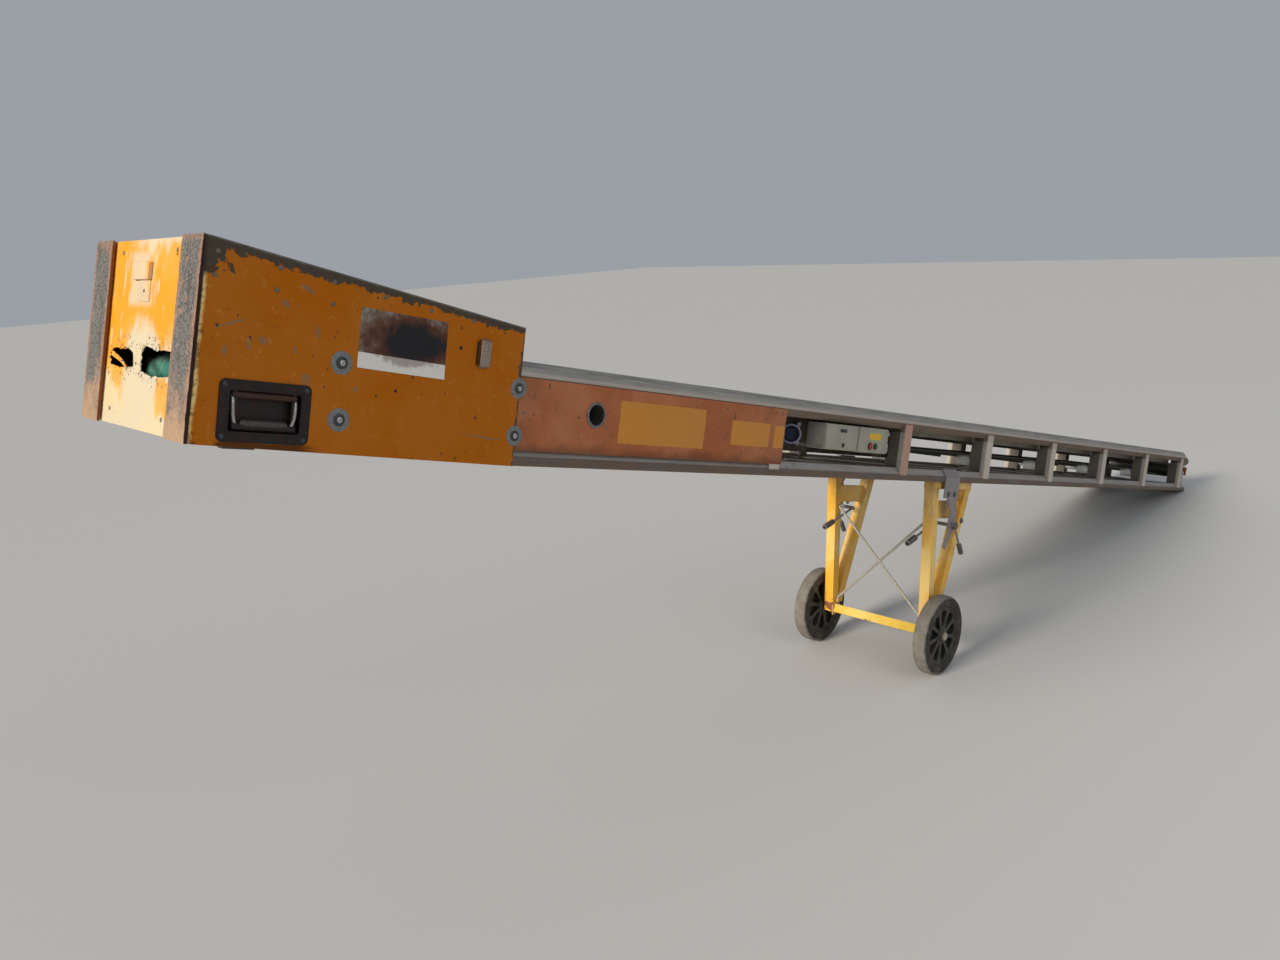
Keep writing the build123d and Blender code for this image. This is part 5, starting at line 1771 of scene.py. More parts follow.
@dataclass(frozen=True)
class EndPlate:
    """The rear face: worn strips, the latch cover and tab, and the torn edges of the two holes."""

    strip_width: float = 0.090
    strip_out: float = 0.256
    strip_t: float = 0.007
    height: float = 0.3561
    left_hole: tuple[tuple[float, float], ...] = ((26, 117), (34, 143), (60, 151), (140, 149), (160, 135),
            (152, 116), (90, 111))
    right_hole: tuple[tuple[float, float], ...] = ((-151, 107), (-148, 153), (-60, 155), (-20, 159),
            (-2, 143), (-6, 111), (-60, 102))

    def strips(self) -> None:
        """Both strips with frayed long edges and a rough face.

        Formula: a rounded rectangle section carried up the face; each ring's width and thickness
        shrink by seeded smooth noise, most at the two ends.
        """
        rng = np.random.default_rng(7)
        stock = Stock("worn_strips")
        rows = 120
        way = np.linspace(0.0, 1.0, rows)
        for hand in (-1, 1):
            outline = rounded_outline(self.strip_width, self.strip_t, 0.0022, 3)
            nicks = np.convolve(rng.normal(0, 1, rows + 8), np.hanning(9), "valid") * 0.00022
            bumps = np.convolve(rng.normal(0, 1, rows + 8), np.hanning(9), "valid") * 0.00010
            seat = rear_seat(hand * (self.strip_out - self.strip_width / 2), 0.0, self.strip_t / 2)
            u = outline[None, :, 0] - np.sign(outline[None, :, 0]) * np.abs(nicks)[:, None] * 2.2
            end = 0.0035 * np.abs(2 * way - 1)[:, None] ** 60
            w = outline[None, :, 1] - np.sign(outline[None, :, 1]) * (np.abs(bumps)[:, None] + end * 0.4)
            local = np.stack([u, np.broadcast_to((way * self.height)[:, None], u.shape), w], -1)
            stock.grid(seat.put(local), wrap_second=True, caps=True)
        stock.object(STRIP, Slot.STRIP, replaces=("bump_strips",), smooth=50.0)

    def torn_edges(self) -> None:
        """Jagged sheet lips round the holes: each ring is the hole's outline pushed inwards by noise."""
        rng = np.random.default_rng(11)
        stock = Stock("torn_edges")
        for hole in (self.left_hole, self.right_hole):
            corners = np.array(hole)[::-1] / 1000
            corners = np.vstack([corners, corners[:1]])
            lengths = np.concatenate([[0], np.cumsum(np.linalg.norm(np.diff(corners, axis=0), axis=1))])
            t = np.linspace(0, lengths[-1], 90, endpoint=False)
            ring = np.stack([np.interp(t, lengths, corners[:, i]) for i in range(2)], -1)
            middle = ring.mean(0)
            jag = np.convolve(rng.normal(0, 1, 94), np.ones(5) / 5, "valid") * 0.0042
            inwards = unit(middle - ring)
            lip = ring + inwards * np.clip(np.abs(jag), 0.0004, 0.008)[:, None]
            root = ring - inwards * 0.0015
            bend = np.clip(rng.normal(-0.001, 0.0012, 90), -0.0028, 0.0)
            rings = [np.column_stack([edge, depth]) for edge, depth in (
                (root, np.full(90, -0.0028)), (lip, bend - 0.003), (lip, bend - 0.0038),
                (root, np.full(90, -0.0058)))]
            stock.grid(rear_seat(0, 0).put(np.stack(rings)), wrap_first=True, wrap_second=True)
        stock.object(END_PAINT, Slot.PAINT, smooth=25.0)

    def torn_flap(self) -> None:
        """Two narrow blades of sheet across the left hole.

        Formula: the first runs straight and sags by a sine; the second starts beside it and closes on it.
        """
        flap, face = Stock("torn_flap"), rear_seat(0.0, 0.0)
        way = np.linspace(0, 1, 14)[:, None]
        path = (np.array([0.148, 0.138, -0.0045]) + way * np.array([-0.084, -0.030, 0.0])
                + np.array([0.0, 0.0, -0.006]) * np.sin(way * math.pi))
        blade = np.array([[-0.0042, -0.0004], [0.0042, -0.0004], [0.0042, 0.0004], [-0.0042, 0.0004]])
        flap.carried(face.put(path), blade, face.out, 1.25 - 0.7 * way[:, 0])
        second = path + np.array([-0.034, -0.012, -0.0015]) * (1 - way)
        flap.carried(face.put(second), blade, face.out, 0.35 + 0.5 * way[:, 0])
        flap.object(END_PAINT, Slot.PAINT)

    def latch(self) -> None:
        """Rounded cover over the latch, its turned-up right edge, the thin tab with its hole, and a screw."""
        cover = Stock("latch_cover")
        seat = rear_seat(0.016, 0.296, -0.003)
        cover.block(seat.shifted(-0.001, 0, 0.0), (0.079, 0.033, 0.0072), 0.0018, 4)
        cover.plate(rounded_outline(0.055, 0.041, 0.002), rear_seat(0.004, 0.260, -0.003), 0.0024)
        cover.plate(rounded_outline(0.010, 0.034, 0.0015), seat.shifted(-0.0365, 0.001, 0.0071), 0.0009)
        cover.object(END_PAINT, Slot.PAINT)
        # Painted shade: a black strip under the cover, a black disc in the tab's hole and one under an upper
        # screw.
        dark = Stock("latch_shadow_gap")
        dark.plate(rounded_outline(0.072, 0.0022, 0.0008), rear_seat(0.012, 0.2795, -0.0022), 0.0020, 0.0003)
        dark.turned([(0, 0), (0.0034, 0), (0.0032, 0.0003), (0, 0.0002)],
                    rear_seat(0.002, 0.259, -0.0006), 14)
        dark.turned([(0, 0), (0.0026, 0), (0.0024, 0.0002), (0, 0.0002)],
                    rear_seat(-0.131, 0.325, -0.0029), 14)
        dark.object(BLACK_AND_SHADE, Slot.PAINT)
        screw = Stock("end_plate_screws")
        for y, height in ((-0.131, 0.332), (0.128, 0.332), (-0.128, 0.03), (0.128, 0.03)):
            Rivet(0.0044, 0.0018).add(screw, rear_seat(y, height, -0.003))
        screw.object(STEEL, Slot.PAINT)

    def build(self) -> None:
        """Makes the rear face's pieces."""
        self.strips()
        self.torn_edges()
        self.torn_flap()
        self.latch()


# The frame.


@dataclass(frozen=True)
class Frame:
    """The ladder frame's small parts: screws, cross rods, labels, collar, ribs and take-up nuts."""

    labels: tuple[tuple[float, float, float, float], ...] = ((1.029, 1.358, 0.066, 0.172),
            (1.476, 1.654, 0.083, 0.152), (1.679, 1.727, 0.083, 0.148))
    panel_screws: tuple[tuple[float, float], ...] = ((1.713, 0.186), (1.713, 0.052), (0.985, 0.104),
            (0.722, 0.12))

    def panel(self, side: Side) -> None:
        """Blank faded labels on the side panel, its screws and the lifting tube's collar.

        Args:
            side: which side of the conveyor.
        """
        name = side.name.lower()
        labels = Stock(f"blank_labels_{name}")
        for s0, s1, n0, n1 in self.labels:
            labels.plate(rounded_outline(s1 - s0, n1 - n0, 0.003),
                    DECK.side_seat((s0 + s1) / 2, HALF, (n0 + n1) / 2, side), 0.0004, 0.0002)
        labels.object(PANEL_LABEL, Slot.PANEL)
        screws = Stock(f"panel_screws_{name}")
        for s, n in self.panel_screws:
            Rivet(0.0042, 0.0016).add(screws, DECK.side_seat(s, HALF, n, side))
        screws.object(STEEL, Slot.PANEL)
        collar = Stock(f"tube_collar_{name}")
        collar.turned([(0.025, -0.004), (0.0252, 0.0022), (0.0262, 0.003), (0.0285, 0.0028), (0.0318, 0.0014),
                       (0.0322, 0.0), (0.029, -0.004)], DECK.side_seat(0.948, HALF, 0.13, side), 56)
        collar.object(STEEL, Slot.FRAME)

    def posts(self) -> None:
        """Screws at each post's head and foot."""
        screws = Stock("post_screws")
        for side in Side:
            for s in (*POSTS, 1.676):
                for n, lean in ((0.030, 0.5), (0.194, -0.5)):
                    seat = DECK.side_seat(s + 0.025, 0.2405, n, side)
                    tilted = Seat(seat.origin, seat.along, unit(seat.up - lean * seat.out),
                            unit(seat.out + lean * seat.up))
                    Rivet(0.0045, 0.0022).add(screws, tilted)
        screws.object(STEEL, Slot.FRAME)

    def cross_rods(self) -> None:
        """Flat crossed rods between the bottom rails in each open bay."""
        rods = Stock("bay_rods")
        for first in (1.726, *(p + 0.05 for p in POSTS[:-1])):
            last = first + (0.733 if first < 2 else 0.629)
            for hand in (-1, 1):
                way = np.linspace(0, 1, 12)[:, None]
                path = DECK.world(first - 0.006 + way[:, 0] * (last - first + 0.012),
                        hand * (0.184 - 0.368 * way[:, 0]), 0.036 + hand * 0.0025)
                rods.carried(path, round_profile(0.0042, 9), DECK.square)
        rods.object(STEEL, Slot.FRAME)

    def bottom_rails(self) -> None:
        """Both bottom rails as hollow sections whose foot rises to the hopper's lower edge at their rear.

        Formula: a section's height n becomes lift plus n times what is left of the rail's height over the
        whole height; lift falls evenly from the hopper's foot to nothing where the hopper ends.
        """
        high, wide, wall, rear, last = 0.044, 0.060, 0.003, 0.010, DECK.length
        outer = np.array([[0.004, 0.0], [0.0, 0.005], [0.0, 0.016], [0.02, high], [wide, high], [wide, 0.0]])
        inner = np.array([[0.0052, wall], [wall, 0.0058], [wall, 0.0155], [0.0221, high - wall],
                          [wide - wall, high - wall], [wide - wall, wall]])
        places = np.concatenate([np.linspace(rear, HOOD_END, 9), [last]])
        lift = HOOD_FOOT[1] * np.clip((HOOD_END - places) / (HOOD_END - HOOD_FOOT[0]), 0.0, 1.0)[:, None]
        for side in Side:
            rings = []
            for section in (outer, inner):
                height = lift + section[None, :, 1] * (high - lift) / high
                across = np.broadcast_to(side.value * (HALF - section[None, :, 0]), height.shape)
                rings.append(DECK.world(np.broadcast_to(places[:, None], height.shape), across, height))
            name = f"bottom_rail_{side.name.lower()}"
            stock = Stock(f"drawn_{name}")
            stock.grid(np.concatenate([rings[0], rings[1][::-1]]), wrap_first=True, wrap_second=True)
            broken_edge(stock.object(RAIL, Slot.FRAME, replaces=(name,)), 0.0012)

    def rails(self) -> None:
        """Extruded ribs along the outside of both top rails, and a round line along both bottom rails."""
        ribs = Stock("rail_ribs")
        for side in Side:
            for n, high in ((0.2045, 0.0012), (0.2195, 0.0010)):
                outline = np.array([[-0.0013, -0.0004], [0.0013, -0.0004], [0.0008, high], [-0.0008, high]])
                path = DECK.world(np.linspace(0.707, 5.900, 60), side.value * HALF, n)
                ribs.carried(path, outline * np.array([1, -side.value]), side.value * ACROSS)
            path = DECK.world(np.linspace(0.707, 5.995, 60), side.value * (HALF - 0.0002), 0.0105)
            ribs.carried(path, round_profile(0.0009, 6), side.value * ACROSS)
        ribs.object(RAIL, Slot.FRAME)

    def take_up(self) -> None:
        """Threads and lock nuts on the take-up screws, and the rusty clip at the discharge end."""
        stock, rusty = Stock("take_up_threads"), Stock("rusty_end_clip")
        for hand in (-1, 1):
            seat = DECK.end_seat(6.007, hand * 0.206, 0.122)
            rings = [(0, 0), *((0.0078 - 0.0012 * (i % 2), 0.0009 * i) for i in range(1, 20)),
                     (0.006, 0.0186), (0, 0.0187)]
            stock.turned(rings, seat, 20)
            stock.turned([(0, 0), (0.0122, 0), (0.0134, 0.001), (0.0134, 0.006), (0.0122, 0.007), (0, 0.007)],
                         seat.shifted(out=0.001), 6, 0.3)
        rusty.block(DECK.top_seat(5.965, -0.244, 0.120), (0.05, 0.010, 0.026), 0.003)
        rusty.block(DECK.top_seat(5.975, -0.244, 0.096), (0.024, 0.008, 0.026), 0.003)
        stock.object(STEEL, Slot.FRAME)
        rusty.object(RUSTY, Slot.FRAME)

    def build(self) -> None:
        """Makes the frame's pieces."""
        for side in Side:
            self.panel(side)
        self.posts()
        self.cross_rods()
        self.bottom_rails()
        self.rails()
        self.take_up()


@dataclass(frozen=True)
class BeltTrim:
    """The belt's raised details: the feet of its cleats."""

    first: float = 0.260
    pitch: float = 0.420
    top: float = 0.166

    def build(self) -> None:
        """Widening feet at both faces of every cleat on the carrying run.

        Formula: a curved section, 17 mm wide at the belt and 4 mm at its top, carried across the belt.
        """
        feet = Stock("cleat_feet")
        section = np.array([[-0.0085, 0.0], [-0.0050, 0.0012], [-0.0036, 0.0035], [-0.0033, 0.0192],
                            [-0.0022, 0.0200], [0.0022, 0.0200], [0.0033, 0.0192], [0.0036, 0.0035],
                            [0.0050, 0.0012], [0.0085, 0.0]])
        for number in range(14):
            s = self.first + self.pitch * number
            way = np.linspace(-0.1105, 0.1105, 21)
            wobble = 0.0006 * np.sin(way * 40 + number)
            local = np.stack([section[None, :, 0] + wobble[:, None], np.broadcast_to(way[:, None], (21, 10)),
                              np.broadcast_to(section[None, :, 1], (21, 10))], -1)
            feet.grid(DECK.top_seat(s, 0.0, self.top).put(local), wrap_second=True, caps=True)
        feet.object(BELT, Slot.BELT)


# The electrics.


@dataclass(frozen=True)
class Electrics:
    """Lids, window, buttons, glands, hinge and the mains inlet's ring and pins."""

    converter: tuple[float, float, float, float, float] = (1.958, 2.150, 0.090, 0.173, 0.244)
    switch: tuple[float, float, float, float, float] = (2.164, 2.354, 0.088, 0.173, 0.240)

    def lid(self, stock: Stock, box: tuple[float, float, float, float, float]) -> Seat:
        """Adds a raised lid with four corner screws and returns the seat on its face.

        Args:
            stock: piece that it joins.
            box: the box's ends in s, its foot and head in n, and its face.

        Returns:
            The seat on the lid's face.
        """
        s0, s1, n0, n1, y = box
        seat = DECK.side_seat((s0 + s1) / 2, y, (n0 + n1) / 2)
        stock.plate(rounded_outline(s1 - s0 - 0.002, n1 - n0 - 0.002, 0.006, 6), seat, 0.0030, 0.0012)
        face = seat.shifted(out=0.0030)
        screw = [(0, 0), (0.0055, 0), (0.0055, 0.0006), (0.0048, 0.0011), (0, 0.0011)]
        for a in (-1, 1):
            for b in (-1, 1):
                corner = face.shifted(a * ((s1 - s0) / 2 - 0.011), b * ((n1 - n0) / 2 - 0.010))
                stock.turned(screw, corner, 16)
        return face

    def converter_parts(self, shell: Stock, dark: Stock) -> None:
        """The converter box's lid with its raised dial field, slot, button and dots, and its rear plate.

        Args:
            shell: piece of the pale parts.
            dark: piece of the dark ones.
        """
        face = self.lid(shell, self.converter)
        shell.plate(rounded_outline(0.062, 0.050, 0.016, 8), face.shifted(0.004, 0.008), 0.0012, 0.0006)
        dark.plate(rounded_outline(0.040, 0.011, 0.002), face.shifted(0.004, 0.022, 0.0012), 0.0007, 0.0003)
        dark.turned([(0, 0), (0.0075, 0), (0.0065, 0.0028), (0, 0.003)], face.shifted(0.010, -0.0245), 20)
        for number in range(5):
            angle = math.radians(200 + 35 * number)
            spot = face.shifted(0.004 + 0.021 * math.cos(angle), 0.008 + 0.016 * math.sin(angle), 0.0011)
            dark.turned([(0, 0), (0.0016, 0), (0.0013, 0.0005), (0, 0.0006)], spot, 10)
        s0, _, n0, n1, y = self.converter
        side = Seat(DECK.world(s0, -(y - 0.036), (n0 + n1) / 2), -ACROSS, DECK.square, -DECK.along)
        dark.plate(rounded_outline(0.036, 0.008, 0.003), side.shifted(up=0.004), 0.0008, 0.0003)
        shell.plate(rounded_outline(0.060, 0.062, 0.006), side, 0.0009, 0.0004)

    def switch_parts(self, shell: Stock, dark: Stock) -> None:
        """The switch box's lid, blank label, two buttons in their rings, and the hinge at its end.

        Args:
            shell: piece of the pale parts.
            dark: piece of the dark ones.
        """
        face = self.lid(shell, self.switch)
        label = Stock("blank_yellow_label")
        label.plate(rounded_outline(0.078, 0.022, 0.002), face.shifted(0.010, 0.014), 0.0004, 0.0002)
        label.object(SMALL_LABEL, Slot.BOX)
        for name, finish, along, radius in (("stop_button", RED_PLASTIC, -0.02, 0.011),
                                            ("start_button", GREEN_PLASTIC, 0.014, 0.0095)):
            seat, cap = face.shifted(along, -0.019), Stock(name)
            dark.turned([(0, 0), (radius + 0.0025, 0), (radius + 0.002, 0.0016), (0, 0.0016)], seat, 28)
            cap.turned([(0, 0), (radius, 0), (radius, 0.0026), (radius - 0.001, 0.0036), (0, 0.004)],
                       seat.shifted(out=0.0014), 28)
            cap.object(finish, Slot.BOX)
        hinge = Stock("box_hinge")
        seat = DECK.side_seat(2.357, 0.236, 0.131)
        hinge.block(seat.shifted(0.0, -0.022, -0.004), (0.007, 0.030, 0.010), 0.002)
        hinge.block(seat.shifted(0.002, 0.026, -0.004), (0.009, 0.012, 0.010), 0.002)
        hinge.object(BRIGHT, Slot.BOX)

    def inlet(self, dark: Stock) -> None:
        """The inlet's ring and socket, turned by 35 degrees towards the hopper, and its three pins.

        Args:
            dark: piece of the dark parts.
        """
        turn = math.radians(35)
        out = unit(-math.cos(turn) * DECK.along - math.sin(turn) * ACROSS)
        seat = Seat(DECK.world(1.822, -0.210, 0.128), np.cross(DECK.square, out), DECK.square, out)
        ring, body = Stock("inlet_ring"), Stock("inlet_socket")
        ring.turned([(0.0240, 0.002), (0.0245, 0.0152), (0.0262, 0.0168), (0.0300, 0.0164), (0.0312, 0.0140),
                     (0.0312, 0.0020), (0.0300, 0.0006), (0.0250, 0.0006)], seat, 56)
        ring.object(INLET_RING, Slot.INLET)
        body.turned([(0.0, 0.0012), (0.0155, 0.0012), (0.0165, 0.0105), (0.0180, 0.0110), (0.0188, 0.0100),
                     (0.0192, 0.0002), (0, 0.0002)], seat, 40)
        body.object(INLET_BLUE, Slot.INLET)
        for number in range(3):
            angle = math.radians(90 + 120 * number)
            spot = seat.shifted(0.0085 * math.cos(angle), 0.0085 * math.sin(angle), 0.001)
            dark.turned([(0, 0), (0.0024, 0), (0.0024, 0.0092), (0.0018, 0.010), (0, 0.010)], spot, 12)

    def glands(self) -> None:
        """Two cable glands beside the inlet, each with a hexagon foot and a round nut."""
        glands = Stock("cable_glands")
        for n, turn in ((0.152, 0.4), (0.108, -0.3)):
            way = unit(-ACROSS + turn * DECK.square - 0.35 * DECK.along)
            seat = Seat(DECK.world(1.888, -0.176, n), unit(np.cross(DECK.square, way)), DECK.square, way)
            glands.turned([(0, 0), (0.011, 0), (0.011, 0.006), (0.0095, 0.0065), (0.0095, 0.01), (0, 0.01)],
                          seat, 8)
            glands.turned([(0, 0.009), (0.0098, 0.009), (0.0098, 0.017), (0.0072, 0.0215), (0, 0.0215)],
                          seat, 20)
        glands.object(WASHER, Slot.INLET)

    def build(self) -> None:
        """Makes the pieces of both boxes and of the inlet."""
        shell, dark = Stock("box_lids"), Stock("box_dark_parts")
        self.converter_parts(shell, dark)
        self.switch_parts(shell, dark)
        shell.block(DECK.side_seat(2.157, 0.210, 0.120).shifted(out=-0.01), (0.016, 0.020, 0.020), 0.003)
        shell.object(ENCLOSURE, Slot.BOX)
        self.inlet(dark)
        dark.object(DARK_PLASTIC, Slot.INLET)
        self.glands()


# The stand and its wheels.


@dataclass(frozen=True)
class Stand:
    """Welds, plates, studs, collars, bolts and grips of the wheel stand."""

    leg_y: float = 0.214

    def grip(self, stock: Stock, start: np.ndarray, end: np.ndarray, radius: float) -> None:
        """A ribbed grip between two points: its radius swells by a cosine along it and closes at the ends.

        Args:
            stock: piece that it joins.
            start: first point.
            end: last point.
            radius: of the grip.
        """
        way = np.linspace(0, 1, 61)
        path = start + way[:, None] * (end - start)
        size = radius * (0.93 + 0.06 * np.cos(way * TAU * 9)) * (1 - 0.55 * np.abs(2 * way - 1) ** 24)
        stock.carried(path, round_profile(1.0, 18), ACROSS, size)

    def seams(self, welds: Stock, hand: int) -> None:
        """The beads across the gussets, along the clamp plates and round the axle's foot.

        Args:
            welds: piece that they join.
            hand: sign of y on this side.
        """
        face = hand * (self.leg_y + 0.004)
        for s0, n0, s1, n1 in ((2.800, -0.076, 3.016, -0.076), (2.812, -0.142, 3.002, -0.142)):
            Weld(0.0020).add(welds, DECK.world(s0, face, n0), DECK.world(s1, face, n1), DECK.square)
        for s0, s1 in ((2.758, 2.806), (3.020, 3.068)):
            Weld(0.0026).add(welds, DECK.world(s0, hand * 0.2345, -0.0285),
                             DECK.world(s1, hand * 0.2345, -0.0285), DECK.square)
        spot = DECK.world(AXLE_S, hand * 0.1935, AXLE_N)
        for angle in np.radians([0, 90, 180, 270]):
            first = np.array([math.cos(angle), 0, math.sin(angle)]) * 0.017
            second = np.array([-math.sin(angle), 0, math.cos(angle)]) * 0.017
            Weld(0.0026).add(welds, spot + first - second, spot + first + second, ACROSS)

    def feet(self, bolts: Stock, plates: Stock, side: Side) -> None:
        """Collar and plate on the axle's foot, its rusty stud, and the bolts of legs and clamp.

        Args:
            bolts: piece of collars and bolts.
            plates: piece of plates and studs.
            side: which side of the stand.
        """
        out = side.value * ACROSS
        axle = DECK.world(AXLE_S, 0.0, AXLE_N)
        bolts.turned([(0.0102, 0), (0.018, 0), (0.018, 0.003), (0.0165, 0.0036), (0.0102, 0.0036)],
                     Seat(axle + out * 0.2345, LEVEL, UPRIGHT, out), 32)
        plates.plate(rounded_outline(0.052, 0.046, 0.006),
                     Seat(axle + out * 0.1925, LEVEL, UPRIGHT, -out), 0.004)
        plates.turned([(0.0, 0.0), (0.010, 0), (0.010, 0.007), (0.008, 0.009), (0, 0.009)],
                      Seat(DECK.world(2.882, side.value * 0.190, -0.556), DECK.along, DECK.square, -out), 12)
        for s, n, y, size in ((2.900, -0.165, 0.2724, 0.0105), (2.975, -0.148, 0.2560, 0.008),
                              (2.838, -0.045, 0.2554, 0.008), (2.888, -0.045, 0.2554, 0.008)):
            Bolt(size, 0.005, size * 1.5, 0.0014).add(bolts, DECK.side_seat(s, y, n, side), 0.5)

    def levers(self, grips: Stock, hand: int) -> None:
        """The grips of both clamp levers, each from its lever's end towards the pin.

        Args:
            grips: piece that they join.
            hand: sign of y on this side.
        """
        for y, s, n, long, radius in ((0.184, 2.702, -0.244, 0.062, 0.0118),
                                      (0.2664, 2.990, -0.276, 0.048, 0.0098)):
            end, pin = DECK.world(s, hand * y, n), DECK.world(2.900, hand * y, -0.165)
            way = unit(pin - end)
            self.grip(grips, end - way * 0.0006, end + way * (long + 0.002), radius)

    def build(self) -> None:
        """Makes the pieces of both sides."""
        welds, bolts = Stock("stand_welds"), Stock("stand_bolts")
        grips, plates = Stock("lever_grips"), Stock("foot_plates")
        for side in Side:
            self.seams(welds, side.value)
            self.feet(bolts, plates, side)
            self.levers(grips, side.value)
        welds.object(STAND_PAINT, Slot.PAINT, Body.STAND)
        bolts.object(STEEL, Slot.CLAMP, Body.STAND)
        grips.object(BLACK_AND_SHADE, Slot.CLAMP, Body.STAND)
        plates.object(FOOT_RUST, Slot.PAINT, Body.STAND)


@dataclass(frozen=True)
class Wheel:
    """One wheel: a solid tyre with worn shoulders on a moulded hub with nine petal-shaped pockets."""

    side: Side
    body: Body
    pockets: int = 9
    pocket_in: float = 0.031
    pocket_out: float = 0.102

    def seat(self) -> Seat:
        """The seat at the wheel's middle, looking outwards along its axle."""
        out = self.side.value * ACROSS
        middle = DECK.world(AXLE_S, self.side.value * WHEEL_Y, AXLE_N)
        return Seat(middle, np.cross(UPRIGHT, out), UPRIGHT, out)

    def tyre(self) -> None:
        """A closed section turned about the axle: flat tread, round shoulders and slightly full walls."""
        half = [(0.1124, 0.0236), (0.1140, 0.0262), (0.1168, 0.0272), (0.1220, 0.0268), (0.1250, 0.0262),
                (0.1280, 0.0269), (0.1350, 0.0274), (0.1420, 0.0272), (0.1470, 0.0262), (0.1508, 0.0240),
                (0.1532, 0.0205), (0.1545, 0.0160), (0.1549, 0.0100), (0.1550, 0.0035)]
        section = half + [(r, -h) for r, h in half[::-1]] + [half[0]]
        name = f"tyre_{self.side.name.lower()}"
        stock = Stock(f"worn_{name}").turned(section, self.seat(), 144)
        stock.object(wheel_finishes(self.side)[0], Slot.TYRE, self.body, replaces=(name,), smooth=60.0)

    def hub(self) -> None:
        """The hub's skin as rings round the axle.

        Formula: ring j has radius r and face height H(r). In each ninth of a turn the columns follow the
        pocket's edge, whose half width W(r) is a petal: a straight taper times the square root of one
        minus the fourth power of the way from the pocket's middle. Inside it the height is the web's.
        """
        rings = np.array([(0.0104, 0.025), (0.0108, 0.0262), (0.0125, 0.0268), (0.0205, 0.0266),
                (0.0225, 0.0256), (0.0235, 0.023), (0.0245, 0.019), (0.0262, 0.0178), (0.03, 0.0176),
                *((r, 0.0176) for r in np.linspace(self.pocket_in, self.pocket_in + 0.006, 5)),
                *((r, 0.0176) for r in np.linspace(0.042, 0.092, 12)),
                *((r, 0.0176) for r in np.linspace(self.pocket_out - 0.006, self.pocket_out, 6)),
                (0.1034, 0.0177), (0.1044, 0.0186), (0.1051, 0.0205), (0.1058, 0.0226), (0.107, 0.0235),
                (0.1102, 0.0235), (0.1118, 0.0228), (0.1129, 0.0212)])
        radius, height = rings[:, 0], rings[:, 1]
        middle, reach = (self.pocket_in + self.pocket_out) / 2, (self.pocket_out - self.pocket_in) / 2
        way = (radius - middle) / reach
        width = (0.0042 + 0.0235 * (way + 1) / 2) * np.sqrt(np.clip(1 - np.abs(way) ** 4, 0, 1))
        wall = np.minimum(0.0011, width * 0.3)
        pitch = math.pi / self.pockets
        bands = ((0.0, 0.5, 0.9), (0.0, 0.35, 0.7, 1.0), (0.12, 0.4, 0.75))
        half_angle, wall_angle = width / radius, wall / radius
        columns, depths = [], []
        for part in bands[0]:
            columns.append((half_angle - wall_angle) * part)
            depths.append(np.ones(len(radius)))
        for part, depth in zip(bands[1], (1.0, 0.72, 0.2, 0.0)):
            columns.append(half_angle - wall_angle + 2 * wall_angle * part)
            depths.append(np.full(len(radius), depth))
        for part in bands[2]:
            columns.append(half_angle + wall_angle + (pitch - half_angle - wall_angle) * part)
            depths.append(np.zeros(len(radius)))
        half_columns, half_depths = np.stack(columns, 1), np.stack(depths, 1)
        seam = np.full((len(radius), 1), pitch)
        one = np.concatenate([half_columns, seam, 2 * pitch - half_columns[:, :0:-1]], 1)
        deep = np.concatenate([half_depths, np.zeros((len(radius), 1)), half_depths[:, :0:-1]], 1)
        angle = np.concatenate([one + 2 * pitch * i for i in range(self.pockets)], 1)
        deep = np.tile(deep, (1, self.pockets)) * (width > 0.0003)[:, None]
        face = height[:, None] - deep * (height[:, None] - 0.0045)
        flat = np.stack([radius[:, None] * np.cos(angle), radius[:, None] * np.sin(angle)], -1)
        outer = np.concatenate([flat, face[..., None]], -1)
        inner = np.concatenate([flat, -face[..., None]], -1)[::-1]
        name = f"hub_{self.side.name.lower()}"
        points = self.seat().put(np.concatenate([outer, inner]))
        stock = Stock(f"moulded_{name}").grid(points, wrap_first=True, wrap_second=True)
        stock.object(wheel_finishes(self.side)[1], Slot.HUB, self.body, replaces=(name,), smooth=42.0)

    def end(self) -> None:
        """The axle's pressed cap over the boss, on the stand because it doesn't turn."""
        cap = Stock(f"axle_cap_{self.side.name.lower()}")
        cap.turned([(0.0102, 0), (0.016, 0), (0.016, 0.0014), (0.013, 0.003), (0.0112, 0.005),
                (0.0102, 0.005), (0.0102, 0)], self.seat().shifted(out=0.0276), 36)
        cap.object(BRASS, Slot.PAINT, Body.STAND)

    def build(self) -> None:
        """Makes the tyre, the hub and the cap."""
        self.tyre()
        self.hub()
        self.end()


# Dressing the solids, and the studio.


